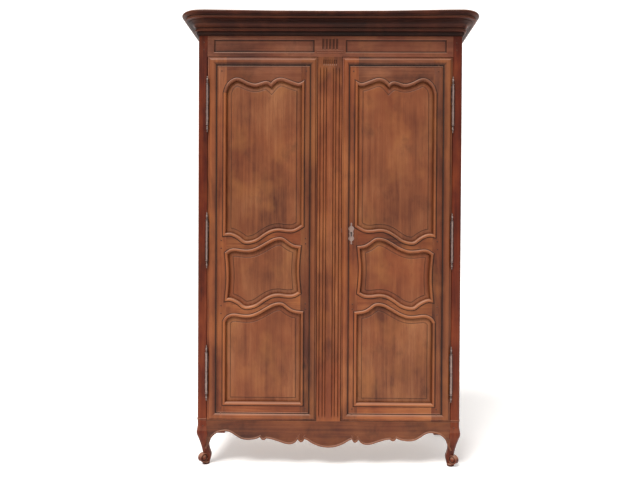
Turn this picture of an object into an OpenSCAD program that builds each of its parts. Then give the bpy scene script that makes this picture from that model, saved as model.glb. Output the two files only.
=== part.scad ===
// Two-door walnut armoire: a pegged frame-and-panel case on scroll-footed front legs, with a
// fixed centre post, scalloped door panels, lift-off barrel hinges and a moulded cornice.
// X runs to the viewer's right, the front faces -Y and Z is up. The origin is on the floor,
// below the middle of the whole piece. All sizes are in millimetres.

/* [Case] */
// Width across the outside of the posts
case_w = 1380; // [1300:10:1460]
// Depth from the front of the posts to the back
case_d = 565; // [520:5:610]
// Height of the frame, from the floor to the underside of the cornice
frame_h = 2258; // [2200:2:2300]
// Width of each corner post, seen from the front
post_w = 49; // [46:1:54]
// Depth of the front posts, seen from the side
post_d = 62; // [56:1:70]
// Radius of the rounded outer edge of the front posts
post_round = 14; // [8:1:16]
// Height of the rail above the doors
frieze_h = 107; // [95:1:120]
// Height of the top edge of the apron rail above the floor
apron_top = 243; // [235:1:250]
// Width of the fixed post between the doors
centre_w = 125; // [110:1:140]

/* [Cornice] */
// Height of the cornice
cornice_h = 112; // [100:1:125]
// How far the cornice stands out from the case
cornice_out = 86; // [75:1:95]

/* [Doors] */
// Gap round each door
door_gap = 3; // [2:0.5:4]
// Thickness of the door frames
door_t = 30; // [28:1:32]
// Distance from a door's hinge edge to the middle of the bead on its hinge stile
hinge_line = 90; // [84:1:100]
// Distance from a door's free edge to the middle of the bead on its meeting stile
meeting_line = 76; // [72:1:84]
// Height of the middle of the upper cross rail
upper_rail_z = 1190; // [1170:2:1210]
// Height of the middle of the lower cross rail
lower_rail_z = 848; // [830:2:860]
// Height of the bead below the lower panel
panel_foot_z = 333; // [325:1:345]
// Distance from a door's top edge down to the wave above the upper panel
top_wave_drop = 132; // [125:1:140]

/* [Inside] */
// Thickness of the shelves
shelf_t = 20; // [16:1:24]
// Thickness of the floor and top boards
board_t = 16; // [14:1:18]

/* [Ironwork] */
// Height of one barrel hinge with its turned ends
hinge_h = 295; // [270:5:310]
// Radius of the hinge barrels
barrel_r = 7; // [6:0.5:7.5]
// Radius of the hinge pins
pin_r = 3.5; // [3:0.5:4]
// How far the bolts of the lock and of the left door travel
bolt_throw = 14; // [10:1:16]

/* [Hidden] */

frame_wood = "sienna";
panel_wood = "peru";
dark_wood = "saddlebrown";
plain_wood = "burlywood";
iron = "dimgray";
$fn = 48;
fit = 0.2;                       // clearance of tenons, panels and leaves in their slots
long = 4000;                     // longer than anything it cuts

// Places of the case's main faces
half_w = case_w / 2;
front = -(case_d + cornice_out) / 2 + cornice_out;
back = front + case_d;
post_in = half_w - post_w;
post_back = front + post_d;
back_post_d = 49;
back_post_in = back - back_post_d;
frieze_z = frame_h - frieze_h;
stop_back = front + 46;          // rear face of the strips that the doors close against

// Doors: u runs from the hinge edge to the free edge
door_out = post_in - door_gap;
door_w = door_out - centre_w / 2 - door_gap;
door_foot = apron_top + door_gap;
door_top = frieze_z - door_gap;
door_back = front + door_t;
stop_front = door_back + 2;
meeting_u = door_w - meeting_line;
bead_half = 8;                   // half the width of the bead round a panel
bead_w = 20;
bead_proud = 4;
rim_in = 9;                      // the raised moulding round a door starts this far in
rim_w = 30;
rim_proud = 5;
stile_in = hinge_line + bead_half;
rail_end = meeting_u - bead_half;
groove_deep = 10;
tongue_t = 8;
tongue_y = front + 15;           // middle of the panel grooves and of the door tenons
tenon_t = 10;
tenon_l = 55;
peg_r = 4;

// Waves of the door panels: [part of the way across, height from the rail's middle]
RAIL_UPPER_EDGE = [[0, 31], [0.08, 33], [0.175, 15], [0.25, -8], [0.32, -9], [0.415, 3],
    [0.51, 30], [0.605, 51], [0.70, 57], [0.80, 52], [0.895, 54], [1, 78]];
RAIL_LOWER_EDGE = [[0, -85], [0.03, -66], [0.08, -54], [0.135, -51], [0.24, -57],
    [0.34, -56], [0.44, -41], [0.535, -19], [0.63, 2], [0.71, 9], [0.76, 4], [0.81, -12],
    [0.885, -30], [1, -37]];
TOP_WAVE_HINGE = [[0, -55], [0.04, -13], [0.147, 16], [0.29, -7], [0.395, -16], [0.53, -1],
    [0.59, -16]];
TOP_WAVE_FREE = [[0.59, -16], [0.645, 7], [0.727, 16], [0.85, -1], [0.946, -13], [1, -4]];
MIDDLE_START = 0.06;             // the middle panel is narrower than the others
MIDDLE_END = 0.945;
MIDDLE_BOW = 7;

// Lower edge of the apron, from the middle outwards: lobe, drop, two lobes and an arch
APRON_CENTRE = [[0, 104], [40, 109], [80, 124], [108, 141], [126, 149]];
APRON_DROP = [[126, 149], [131, 137], [141, 131], [152, 136], [160, 147]];
APRON_LOBE = [[160, 147], [173, 130], [194, 121], [222, 122], [254, 132], [296, 145], [324, 150]];
APRON_BEAD = [[324, 150], [332, 143], [341, 141], [351, 145], [358, 156]];
APRON_ARCH = [[358, 156], [372, 149], [392, 144], [424, 141], [456, 146], [482, 160],
    [506, 176], [530, 185], [558, 184], [588, 175], [609, 158], [621, 140], [629, 118], [641, 92]];
apron_half = 641;                // half the width that the apron points are drawn for

// Front leg, seen from the front: [distance in from the outer face, height]
LEG_OUTER = [[0, 246], [0.5, 215], [-4, 190], [-5, 172], [2, 148], [10, 120], [17, 90],
    [21, 66], [19, 60]];
LEG_TOE = [[19, 60], [8, 57], [0, 46], [0, 34], [7, 19], [21, 6], [23, 0]];
LEG_HEEL = [[57, 0], [62, 20], [67, 42], [67, 56], [61, 78], [56, 100], [55, 122], [49, 150]];

function mix(a, b, t) = a + (b - a) * t;
function catmull(a, b, c, d, t) = 0.5 * (2 * b + (c - a) * t
    + (2 * a - 5 * b + 4 * c - d) * t * t + (3 * b - 3 * c + d - a) * t * t * t);
// A smooth line through the points p, with n steps between neighbours
function smooth(p, n = 3) = concat([for (i = [0 : len(p) - 2]) for (k = [0 : n - 1])
    catmull(p[max(i - 1, 0)], p[i], p[i + 1], p[min(i + 2, len(p) - 1)], k / n)],
    [p[len(p) - 1]]);
function reversed(p) = [for (i = [len(p) - 1 : -1 : 0]) p[i]];
function mirrored(p) = [for (q = p) [-q[0], q[1]]];
function arc(c, r, a0, a1, n = 6) = [for (i = [0 : n]) c + r * [cos(mix(a0, a1, i / n)),
    sin(mix(a0, a1, i / n))]];
function across(p, z) = [for (q = p) [mix(hinge_line, meeting_u, q[0]), z + q[1]]];
function between(p, a, b) = [for (q = p) if (q[0] >= a && q[0] <= b) q];
function height_at(p, t) = lookup(t, p);
// The part of a wave from a to b, with its height worked out at both ends
function section(p, a, b) = concat([[a, height_at(p, a)]],
    between(p, a + 0.02, b - 0.02), [[b, height_at(p, b)]]);

// A flat shape drawn in X and Z, as a board from y0 to y1
module board(y0, y1) {
    translate([0, y1, 0]) rotate([90, 0, 0]) linear_extrude(y1 - y0) children();
}
// A flat shape drawn in Y and Z, as a board from x0 to x1
module side_board(x0, x1) {
    translate([x0, 0, 0]) rotate([90, 0, 90]) linear_extrude(x1 - x0) children();
}
module block(low, high) {
    translate(low) cube(high - low);
}
module area(low, high) {
    translate(low) square(high - low);
}
module grown(low, high, by) {
    block(low - [by, by, by], high + [by, by, by]);
}

// ---- doors ----

module on_left_door() {
    translate([-door_out, 0, 0]) children();
}
module on_right_door() {
    mirror([1, 0, 0]) on_left_door() children();
}

module upper_opening() {
    top_z = door_top - top_wave_drop;
    offset(delta = -bead_half) polygon(concat(
        smooth(across(RAIL_UPPER_EDGE, upper_rail_z)),
        smooth(reversed(across(TOP_WAVE_FREE, top_z))),
        smooth(reversed(across(TOP_WAVE_HINGE, top_z)))));
}
function bowed_side(t, bow, z0, z1) = [for (k = [1 : 7])
    [mix(hinge_line, meeting_u, t) + bow * sin(180 * k / 8), mix(z0, z1, k / 8)]];
module middle_opening() {
    foot = section(RAIL_UPPER_EDGE, MIDDLE_START, MIDDLE_END);
    head = section(RAIL_LOWER_EDGE, MIDDLE_START, MIDDLE_END);
    last = len(foot) - 1;
    offset(delta = -bead_half) polygon(concat(
        smooth(across(foot, lower_rail_z)),
        bowed_side(MIDDLE_END, -MIDDLE_BOW, lower_rail_z + foot[last][1],
            upper_rail_z + head[len(head) - 1][1]),
        smooth(reversed(across(head, upper_rail_z))),
        bowed_side(MIDDLE_START, MIDDLE_BOW, upper_rail_z + head[0][1],
            lower_rail_z + foot[0][1])));
}
module lower_opening() {
    offset(delta = -bead_half) polygon(concat(
        [[hinge_line, panel_foot_z], [meeting_u, panel_foot_z]],
        smooth(reversed(across(RAIL_LOWER_EDGE, lower_rail_z)))));
}
module openings(grow = 0) {
    offset(delta = grow) upper_opening();
    offset(delta = grow) middle_opening();
    offset(delta = grow) lower_opening();
}
module door_area() {
    area([0, door_foot], [door_w, door_top]);
}
module rim_area() {
    difference() {
        area([rim_in, door_foot + rim_in], [door_w - rim_in, door_top - rim_in]);
        area([rim_in + rim_w, door_foot + rim_in + rim_w],
            [door_w - rim_in - rim_w, door_top - rim_in - rim_w]);
    }
}

// Heights where the stiles' bowed parts beside the middle panel begin and end
bow_foot_hinge = lower_rail_z + 31;
bow_head_hinge = upper_rail_z - 62;
bow_foot_free = lower_rail_z + 66;
bow_head_free = upper_rail_z - 35;
bow_strip = 40;

// Tenons of the door rails: [lowest, highest] height at the hinge end and at the free end
function door_tenons() = [
    [[door_top - 84, door_top - 30], [door_top - 84, door_top - 30]],
    [[upper_rail_z - 58, upper_rail_z + 16], [upper_rail_z - 26, upper_rail_z + 22]],
    [[lower_rail_z - 58, lower_rail_z + 16], [lower_rail_z - 26, lower_rail_z + 22]],
    [[door_foot + 24, door_foot + 74], [door_foot + 24, door_foot + 74]]];

module tenon(i, grow = 0) {
    y0 = tongue_y - tenon_t / 2;
    hinge_z = door_tenons()[i][0];
    free_z = door_tenons()[i][1];
    grown([stile_in - tenon_l, y0, hinge_z[0]], [stile_in + 10, y0 + tenon_t, hinge_z[1]], grow);
    grown([rail_end - 10, y0, free_z[0]], [rail_end + tenon_l, y0 + tenon_t, free_z[1]], grow);
}
module door_pegs(r, y0, y1) {
    for (i = [0 : 3])
        for (end = [0, 1])
            for (part = [0.22, 0.78]) {
                z = mix(door_tenons()[i][end][0], door_tenons()[i][end][1], part);
                u = end == 0 ? stile_in - 26 : rail_end + 26;
                translate([u, y0, z]) rotate([-90, 22.5, 0]) cylinder(r = r, h = y1 - y0, $fn = 8);
            }
}

// A member of a door frame, from its flat outline: board, raised rim and bead, and grooves
module door_member() {
    difference() {
        union() {
            board(front, door_back) member_area() children();
            board(front - rim_proud, front + 1) intersection() {
                member_area() children();
                rim_area();
            }
            board(front - bead_proud, front + 1) intersection() {
                member_area() children();
                openings(bead_w);
            }
        }
        board(tongue_y - tongue_t / 2 - fit, tongue_y + tongue_t / 2 + fit)
            openings(groove_deep);
    }
}
module member_area() {
    difference() {
        intersection() {
            door_area();
            children();
        }
        openings();
    }
}
module stile(low_u, high_u, bow_low, bow_high, bow_z0, bow_z1) {
    difference() {
        door_member() {
            area([low_u, door_foot], [high_u, door_top]);
            area([bow_low, bow_z0], [bow_high, bow_z1]);
        }
        for (i = [0 : 3]) tenon(i, fit);
        door_pegs(peg_r, front - 10, door_back + 10);
        children();
    }
}
module hinge_stile() {
    stile(0, stile_in, stile_in - 1, stile_in + bow_strip, bow_foot_hinge, bow_head_hinge) {
        for (z = hinge_heights) door_leaf(z, fit);
    }
}
module meeting_stile() {
    stile(rail_end, door_w, rail_end - bow_strip, rail_end + 1, bow_foot_free, bow_head_free) {
        children();
    }
}
module rail(i, z0, z1) {
    difference() {
        union() {
            difference() {
                door_member() area([stile_in, z0], [rail_end, z1]);
                board(front - 20, door_back + 20) {
                    area([0, bow_foot_hinge], [stile_in + bow_strip, bow_head_hinge]);
                    area([rail_end - bow_strip, bow_foot_free], [door_w, bow_head_free]);
                }
            }
            tenon(i);
        }
        door_pegs(peg_r, front - 10, door_back + 10);
    }
}
module top_rail() {
    rail(0, (upper_rail_z + door_top) / 2, door_top);
}
module upper_cross_rail() {
    rail(1, (upper_rail_z + lower_rail_z) / 2, (upper_rail_z + door_top) / 2);
}
module lower_cross_rail() {
    rail(2, (lower_rail_z + door_foot) / 2, (upper_rail_z + lower_rail_z) / 2);
}
module bottom_rail() {
    rail(3, door_foot, (lower_rail_z + door_foot) / 2);
}

// A fielded panel: a tongue that sits in the grooves and a raised middle
module panel() {
    tongue_grow = groove_deep - 1;
    field_in = 28;
    field_proud = 7;
    board(tongue_y - tongue_t / 2, tongue_y + tongue_t / 2) offset(delta = tongue_grow) children();
    board(tongue_y - tongue_t / 2 - field_proud, tongue_y) offset(delta = -field_in) children();
}
module peg_set() {
    door_pegs(peg_r, front - 1.5, door_back - 1);
}

module left_hinge_stile() { color(frame_wood) on_left_door() hinge_stile(); }
module left_meeting_stile() { color(frame_wood) on_left_door() meeting_stile(); }
module left_top_rail() { color(frame_wood) on_left_door() top_rail(); }
module left_upper_cross_rail() { color(frame_wood) on_left_door() upper_cross_rail(); }
module left_lower_cross_rail() { color(frame_wood) on_left_door() lower_cross_rail(); }
module left_bottom_rail() { color(frame_wood) on_left_door() bottom_rail(); }
module left_upper_panel() { color(panel_wood) on_left_door() panel() upper_opening(); }
module left_middle_panel() { color(panel_wood) on_left_door() panel() middle_opening(); }
module left_lower_panel() { color(panel_wood) on_left_door() panel() lower_opening(); }
module left_door_pegs() { color(dark_wood) on_left_door() peg_set(); }

module right_hinge_stile() { color(frame_wood) on_right_door() hinge_stile(); }
module right_meeting_stile() {
    color(frame_wood) on_right_door() meeting_stile() {
        keyhole(front - 10, door_back + 10, 1);
        plate_bed();
    }
}
module right_top_rail() { color(frame_wood) on_right_door() top_rail(); }
module right_upper_cross_rail() { color(frame_wood) on_right_door() upper_cross_rail(); }
module right_lower_cross_rail() { color(frame_wood) on_right_door() lower_cross_rail(); }
module right_bottom_rail() { color(frame_wood) on_right_door() bottom_rail(); }
module right_upper_panel() { color(panel_wood) on_right_door() panel() upper_opening(); }
module right_middle_panel() { color(panel_wood) on_right_door() panel() middle_opening(); }
module right_lower_panel() { color(panel_wood) on_right_door() panel() lower_opening(); }
module right_door_pegs() {
    color(dark_wood) on_right_door() difference() {
        peg_set();
        plate_bed();
    }
}

// ---- hinges: the lower half with its pin is on the post, the upper half on the door ----

hinge_heights = [495, 1190, 1900];
axis_u = -door_gap / 2;
axis_y = front - barrel_r - 2;
finial_h = 44;
leaf_t = 2.4;
leaf_out = 42;
leaf_h = 84;
knuckle_gap = 0.3;
half_h = hinge_h / 2;

// The turned end of a hinge, growing upwards from z = 0, with a ball on a narrow neck
module finial() {
    neck = barrel_r * 0.55;
    outline = concat([[0, 0], [barrel_r, 0], [barrel_r, 2], [barrel_r + 1.2, 4], [barrel_r, 6],
        [neck, 9], [neck + 0.6, 13]], arc([0, 22], barrel_r - 1, -35, 55),
        [[neck * 0.7, 30], [neck * 0.8, 34], [neck * 0.5, 40], [0, finial_h]]);
    rotate_extrude() polygon(outline);
}
module leaf(side, z0, z1, grow) {
    rotate([0, 0, side * 45])
        translate([-leaf_t / 2 - grow, barrel_r - 1.5, z0 - grow])
        cube([leaf_t + 2 * grow, leaf_out - barrel_r + 1.5 + grow, z1 - z0 + 2 * grow]);
}
module door_leaf(z, grow) {
    translate([axis_u, axis_y, z]) leaf(-1, 14, 14 + leaf_h, grow);
}
module post_leaf(z, grow) {
    translate([axis_u, axis_y, z]) leaf(1, -14 - leaf_h, -14, grow);
}
module hinge_pins() {
    pin_h = 60;
    for (z = hinge_heights) {
        translate([axis_u, axis_y, z]) {
            translate([0, 0, finial_h - half_h]) cylinder(r = barrel_r,
                h = half_h - finial_h - knuckle_gap / 2);
            translate([0, 0, finial_h - half_h]) mirror([0, 0, 1]) finial();
            translate([0, 0, -10]) cylinder(r = pin_r, h = pin_h + 10);
        }
        post_leaf(z, 0);
    }
}
module hinge_barrels() {
    bore_h = 62;
    running = 0.05;
    for (z = hinge_heights) {
        difference() {
            translate([axis_u, axis_y, z]) {
                translate([0, 0, knuckle_gap / 2]) cylinder(r = barrel_r,
                    h = half_h - finial_h - knuckle_gap / 2);
                translate([0, 0, half_h - finial_h]) finial();
            }
            translate([axis_u, axis_y, z - 1]) cylinder(r = pin_r + running, h = bore_h + 1);
        }
        door_leaf(z, 0);
    }
}
module left_hinge_pins() { color(iron) on_left_door() hinge_pins(); }
module right_hinge_pins() { color(iron) on_right_door() hinge_pins(); }
module left_hinge_barrels() { color(iron) on_left_door() hinge_barrels(); }
module right_hinge_barrels() { color(iron) on_right_door() hinge_barrels(); }

// ---- lock on the right door, bolts on the left door ----

lock_z = 1229;
lock_u = door_w - 50;            // middle of the lock, across the meeting stile
lock_case_w = 70;
lock_case_h = 100;
lock_case_t = 16;
lock_bolt_h = 18;
lock_bolt_t = 8;
plate_t = 2.5;
slide_u = door_w - 50;           // middle of the two slide bolts
slide_w = 14;
slide_t = 6;
slide_l = 190;
top_bolt_z = door_top - 14;      // upper end of the top bolt when it is drawn
bottom_bolt_z = apron_top + board_t + 8; // lower end of the bottom bolt when it is drawn

module keyhole(y0, y1, scale_up) {
    translate([lock_u, 0, lock_z]) {
        translate([0, y1, 4]) rotate([90, 0, 0]) cylinder(r = 4.5 * scale_up, h = y1 - y0);
        block([-2.4 * scale_up, y0, -14], [2.4 * scale_up, y1, 4]);
    }
}
module plate_area() {
    half = 15;
    outline = [[0, -58], [4, -50], [5, -42], [half, -26], [half - 3, 0], [half, 26],
        [5, 42], [4, 50], [0, 58]];
    translate([lock_u, lock_z]) polygon(concat(outline, mirrored(reversed(outline))));
}
module escutcheon() {
    color(iron) on_right_door() difference() {
        board(front - plate_t, front) plate_area();
        keyhole(front - 10, front + 10, 1);
    }
}
// Where the mouldings and pegs are cut back to let the escutcheon lie flat
module plate_bed() {
    board(front - 10, front) offset(delta = fit) plate_area();
}
// The lock's hollow box, fixed behind the stile, with a slot in its end for the bolt
module lock_case() {
    wall = 2.5;
    color(iron) on_right_door() difference() {
        block([lock_u - lock_case_w / 2, door_back, lock_z - lock_case_h / 2],
            [lock_u + lock_case_w / 2, door_back + lock_case_t, lock_z + lock_case_h / 2]);
        block([lock_u - lock_case_w / 2 + wall, door_back + wall, lock_z - lock_case_h / 2 + wall],
            [lock_u + lock_case_w / 2 - wall, door_back + lock_case_t - wall,
            lock_z + lock_case_h / 2 - wall]);
        bolt_space(0.3);
        keyhole(door_back - 5, door_back + 5, 1.1);
    }
}
bolt_y = door_back + 4;
bolt_l = 46;
module bolt_space(grow) {
    free_u = lock_u + lock_case_w / 2;
    block([free_u - bolt_l - grow, bolt_y - grow, lock_z + 8 - grow],
        [free_u + 5, bolt_y + lock_bolt_t + grow, lock_z + 8 + lock_bolt_h + grow]);
}
module lock_bolt() {
    free_u = lock_u + lock_case_w / 2;
    color(iron) on_right_door()
        block([free_u - bolt_l, bolt_y, lock_z + 8], [free_u - 0.5, bolt_y + lock_bolt_t,
            lock_z + 8 + lock_bolt_h]);
}
// Iron plate behind the centre post that the thrown bolt slides over
module lock_keeper() {
    color(iron) block([40, stop_back, lock_z - 12], [72, stop_back + 2, lock_z + 46]);
}
module slide_bolt(z0) {
    knob_h = 10;
    y0 = door_back + 3;
    block([slide_u - slide_w / 2, y0, z0], [slide_u + slide_w / 2, y0 + slide_t, z0 + slide_l]);
    translate([slide_u, y0 + slide_t - 1, z0 + slide_l / 2]) rotate([-90, 0, 0]) {
        cylinder(r = 4, h = knob_h);
        translate([0, 0, knob_h - 1]) cylinder(r = 7, h = 5);
    }
}
module top_bolt() { color(iron) on_left_door() slide_bolt(top_bolt_z - slide_l); }
module bottom_bolt() { color(iron) on_left_door() slide_bolt(bottom_bolt_z); }
// Iron straps on the stile, two for each bolt, on a thin back plate
module guide(z) {
    wall = 3;
    strap_h = 16;
    clear = 0.4;
    difference() {
        block([slide_u - slide_w / 2 - wall - clear, door_back, z - strap_h / 2],
            [slide_u + slide_w / 2 + wall + clear, door_back + 3 + slide_t + wall + clear,
            z + strap_h / 2]);
        block([slide_u - slide_w / 2 - clear, door_back + 3 - clear, z - strap_h],
            [slide_u + slide_w / 2 + clear, door_back + 3 + slide_t + clear, z + strap_h]);
    }
}
module bolt_guides() {
    from_end = 32;
    color(iron) on_left_door() {
        for (z0 = [top_bolt_z - slide_l, bottom_bolt_z])
            for (z = [z0 + from_end, z0 + slide_l - from_end])
                guide(z);
    }
}

// ---- posts ----

// Plan of a front post, with its outer front edge rounded
function post_plan() = concat([[-post_in, post_back], [-half_w, post_back]],
    arc([-half_w + post_round, front + post_round], post_round, 180, 270),
    [[-post_in, front]]);
function leg_outline() = concat(smooth(LEG_OUTER, 2), smooth(LEG_TOE, 2), smooth(LEG_HEEL, 2),
    [[post_w, 246]]);
// The leg: where its outline from the front meets the same outline from the side
module leg() {
    side_scale = post_d / post_w;
    intersection() {
        board(front - 20, front + 120) polygon([for (q = leg_outline()) [q[0] - half_w, q[1]]]);
        side_board(-half_w - 20, -half_w + 120) polygon([for (q = leg_outline())
            [front + (q[0] > post_w - 1 ? q[0] + post_d - post_w : q[0] * side_scale), q[1]]]);
    }
}
case_tenon_t = 12;
case_tenon_l = 30;
front_tenon_y = front + 9;
side_t = 26;
side_set_in = 4;                 // the sides' rails lie this far in from the posts' faces
side_x = half_w - side_set_in - side_t / 2; // middle of the side rails, panels and tenons
side_tenon_l = 40;
back_tenon_l = 24;
back_y = back - 12;              // middle of the back rails and boards
back_t = 24;
back_tenon_t = 10;

side_rail_z = [[188, 330], [1140, 1240], [frame_h - 150, frame_h]]; // bottom, middle, top
back_rail_z = [[196, 300], [frame_h - 110, frame_h]];               // bottom, top

// Tenons into the posts, for the left half of the case: [low corner, high corner]
module front_tenons(grow = 0) {
    for (z = [[apron_top - 78, apron_top - 14], [frieze_z + 16, frame_h - 16]])
        grown([-post_in - case_tenon_l, front_tenon_y, z[0]],
            [-post_in + 10, front_tenon_y + case_tenon_t, z[1]], grow);
}
module side_tenons(i, grow = 0) {
    z0 = side_rail_z[i][0] + (i == 0 ? 50 : 14);
    z1 = side_rail_z[i][1] - 14;
    x0 = -side_x - case_tenon_t / 2;
    grown([x0, post_back - side_tenon_l, z0], [x0 + case_tenon_t, post_back + 10, z1], grow);
    grown([x0, back_post_in - 10, z0], [x0 + case_tenon_t, back_post_in + 30, z1], grow);
}
module back_tenons(i, grow = 0) {
    y0 = back_y - back_tenon_t / 2;
    grown([-post_in - back_tenon_l, y0, back_rail_z[i][0] + 14],
        [-post_in + 10, y0 + back_tenon_t, back_rail_z[i][1] - 14], grow);
}
module side_panel_space(i, grow = 0) {
    low = side_rail_z[i][1];
    high = side_rail_z[i + 1][0];
    block([-side_x - tongue_t / 2 - grow, post_back - groove_deep - grow, low - groove_deep - grow],
        [-side_x + tongue_t / 2 + grow, back_post_in + groove_deep + grow,
        high + groove_deep + grow]);
}
// Pegs through the joints of the case, on the left half
module case_peg(r, x, y, z, along_x, l) {
    translate([x, y, z]) rotate(along_x ? [0, 90, 0] : [-90, 0, 0]) rotate([0, 0, 22.5])
        cylinder(r = r, h = l, $fn = 8);
}
module front_pegs(l) {
    for (z = [apron_top - 62, apron_top - 30, frieze_z + 34, frame_h - 34])
        case_peg(peg_r, -post_in - 18, front - 1.5, z, false, l);
}
module side_pegs(l) {
    for (i = [0 : 2])
        for (y = [post_back - 20, back_post_in + 18])
            for (z = [side_rail_z[i][0] + (i == 0 ? 66 : 32), side_rail_z[i][1] - 32])
                case_peg(peg_r, -half_w - 1.5, y, z, true, l);
}
module case_pegs() {
    front_peg_l = 30;
    side_peg_l = 32;
    color(dark_wood) for (side = [0, 1]) mirror([side, 0, 0]) {
        front_pegs(front_peg_l);
        side_pegs(side_peg_l);
    }
}
peg_hole_l = 34;

module front_post() {
    difference() {
        union() {
            translate([0, 0, 246]) linear_extrude(frame_h - 246) polygon(post_plan());
            leg();
        }
        apron_board();
        front_tenons(fit);
        for (i = [0 : 2]) side_tenons(i, fit);
        for (i = [0 : 1]) side_panel_space(i, fit);
        translate([-door_out, 0, 0]) for (z = hinge_heights) post_leaf(z, fit);
        front_pegs(peg_hole_l);
        side_pegs(peg_hole_l);
    }
}
module back_post() {
    difference() {
        block([-half_w, back_post_in, 0], [-post_in, back, frame_h]);
        for (i = [0 : 2]) side_tenons(i, fit);
        for (i = [0 : 1]) side_panel_space(i, fit);
        for (i = [0 : 1]) back_tenons(i, fit);
        back_board_space(fit);
        side_pegs(peg_hole_l);
    }
}
module front_left_post() { color(dark_wood) front_post(); }
module front_right_post() { color(dark_wood) mirror([1, 0, 0]) front_post(); }
module back_left_post() { color(dark_wood) back_post(); }
module back_right_post() { color(dark_wood) mirror([1, 0, 0]) back_post(); }

// ---- front rails and centre post ----

centre_tenon_l = 40;
centre_tenon_w = 80;
module centre_tenons(grow = 0) {
    y0 = front + 10;
    grown([-centre_tenon_w / 2, y0, apron_top - centre_tenon_l],
        [centre_tenon_w / 2, y0 + tenon_t, apron_top + 10], grow);
    grown([-centre_tenon_w / 2, y0, frieze_z - 10],
        [centre_tenon_w / 2, y0 + tenon_t, frieze_z + centre_tenon_l], grow);
}
stop_lap = 14;                   // how far the stops reach behind the doors
module centre_post() {
    reed_z0 = apron_top + 12;
    reed_z1 = frieze_z - 42;
    groove_w = 4;
    color(frame_wood) difference() {
        union() {
            block([-centre_w / 2, front, apron_top], [centre_w / 2, stop_back, frieze_z]);
            block([-centre_w / 2 - stop_lap, stop_front, apron_top + board_t],
                [centre_w / 2 + stop_lap, stop_back, frieze_z - stop_lap]);
            centre_tenons();
        }
        for (x = [-50, -32, -18, 18, 32, 50])
            block([x - groove_w / 2, front - 5, reed_z0], [x + groove_w / 2, front + 3.5, reed_z1]);
        lock_notch();
    }
}
// Where the thrown lock bolt passes into the centre post's stop
module lock_notch() {
    block([centre_w / 2 - 4, bolt_y - 2, lock_z + 4],
        [centre_w / 2 + stop_lap + 5, bolt_y + lock_bolt_t + 2, lock_z + 12 + lock_bolt_h]);
}
module frieze_rail() {
    field_deep = 4;
    field_in = 28;
    field_x0 = 76;
    field_z0 = frieze_z + 16;
    field_z1 = frame_h - 12;
    flute_w = 9;
    flute_pitch = 17;
    color(frame_wood) difference() {
        union() {
            block([-post_in, front, frieze_z], [post_in, stop_back, frame_h]);
            block([-post_in + 2, stop_front, frieze_z - stop_lap], [post_in - 2, stop_back, frieze_z + 1]);
            for (side = [0, 1]) mirror([side, 0, 0]) intersection() {
                front_tenons();
                block([-long, -long, frieze_z], [long, long, frame_h]);
            }
        }
        for (side = [0, 1]) mirror([side, 0, 0])
            block([field_x0, front - 5, field_z0], [post_in - field_in, front + field_deep, field_z1]);
        for (i = [-2 : 2])
            block([i * flute_pitch - flute_w / 2, front - 5, frieze_z + 36],
                [i * flute_pitch + flute_w / 2, front + field_deep, field_z1]);
        block([-centre_w / 2, front - 5, frieze_z - stop_lap - 5],
            [centre_w / 2, stop_back + 5, frieze_z]);
        centre_tenons(fit);
        for (side = [0, 1]) mirror([side, 0, 0]) front_pegs(peg_hole_l);
        slide_hole(frieze_z - 20, frieze_z + 20);
    }
}
// Where an end of a slide bolt enters the case
module slide_hole(z0, z1) {
    clear = 2;
    translate([-door_out, 0, 0])
        block([slide_u - slide_w / 2 - clear, door_back + 3 - clear, z0],
            [slide_u + slide_w / 2 + clear, door_back + 3 + slide_t + clear, z1]);
}
function apron_line() = concat(smooth(APRON_CENTRE), smooth(APRON_DROP), smooth(APRON_LOBE),
    smooth(APRON_BEAD), smooth(APRON_ARCH));
module apron_board() {
    line = [for (q = apron_line()) [q[0] * post_in / apron_half, q[1]]];
    board(front, front + 30) polygon(concat(line, [[post_in, apron_top], [-post_in, apron_top]],
        mirrored(reversed(line))));
}
module apron_rail() {
    color(frame_wood) difference() {
        union() {
            apron_board();
            for (side = [0, 1]) mirror([side, 0, 0]) intersection() {
                front_tenons();
                block([-long, -long, 0], [long, long, apron_top]);
            }
        }
        centre_tenons(fit);
        for (side = [0, 1]) mirror([side, 0, 0]) front_pegs(peg_hole_l);
    }
}

// ---- sides ----

// Lower edge of a side's bottom rail, a plain arch
module side_rail_area(i) {
    drop = 36;                   // how far the ends of the arch reach down beside the posts
    end_w = 20;
    rise = 46;
    half = (back_post_in - post_back) / 2 - end_w;
    r = (half * half + rise * rise) / (2 * rise);
    low = side_rail_z[i][0];
    difference() {
        area([post_back, i == 0 ? low - drop : low], [back_post_in, side_rail_z[i][1]]);
        if (i == 0)
            translate([(post_back + back_post_in) / 2, low - drop + rise - r])
                circle(r = r, $fn = 180);
    }
}
module side_rail(i) {
    difference() {
        union() {
            side_board(-side_x - side_t / 2, -side_x + side_t / 2) side_rail_area(i);
            side_tenons(i);
        }
        if (i > 0) side_panel_space(i - 1, fit);
        if (i < 2) side_panel_space(i, fit);
        side_pegs(peg_hole_l);
    }
}
module side_panel(i) {
    margin = 30;
    low = side_rail_z[i][1];
    high = side_rail_z[i + 1][0];
    side_panel_space(i, -1 + 2 * fit);
    block([-side_x - tongue_t / 2 - 6, post_back + margin, low + margin],
        [-side_x, back_post_in - margin, high - margin]);
}
module left_side_bottom_rail() { color(frame_wood) side_rail(0); }
module left_side_middle_rail() { color(frame_wood) side_rail(1); }
module left_side_top_rail() { color(frame_wood) side_rail(2); }
module left_side_lower_panel() { color(panel_wood) side_panel(0); }
module left_side_upper_panel() { color(panel_wood) side_panel(1); }
module right_side_bottom_rail() { color(frame_wood) mirror([1, 0, 0]) side_rail(0); }
module right_side_middle_rail() { color(frame_wood) mirror([1, 0, 0]) side_rail(1); }
module right_side_top_rail() { color(frame_wood) mirror([1, 0, 0]) side_rail(2); }
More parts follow.
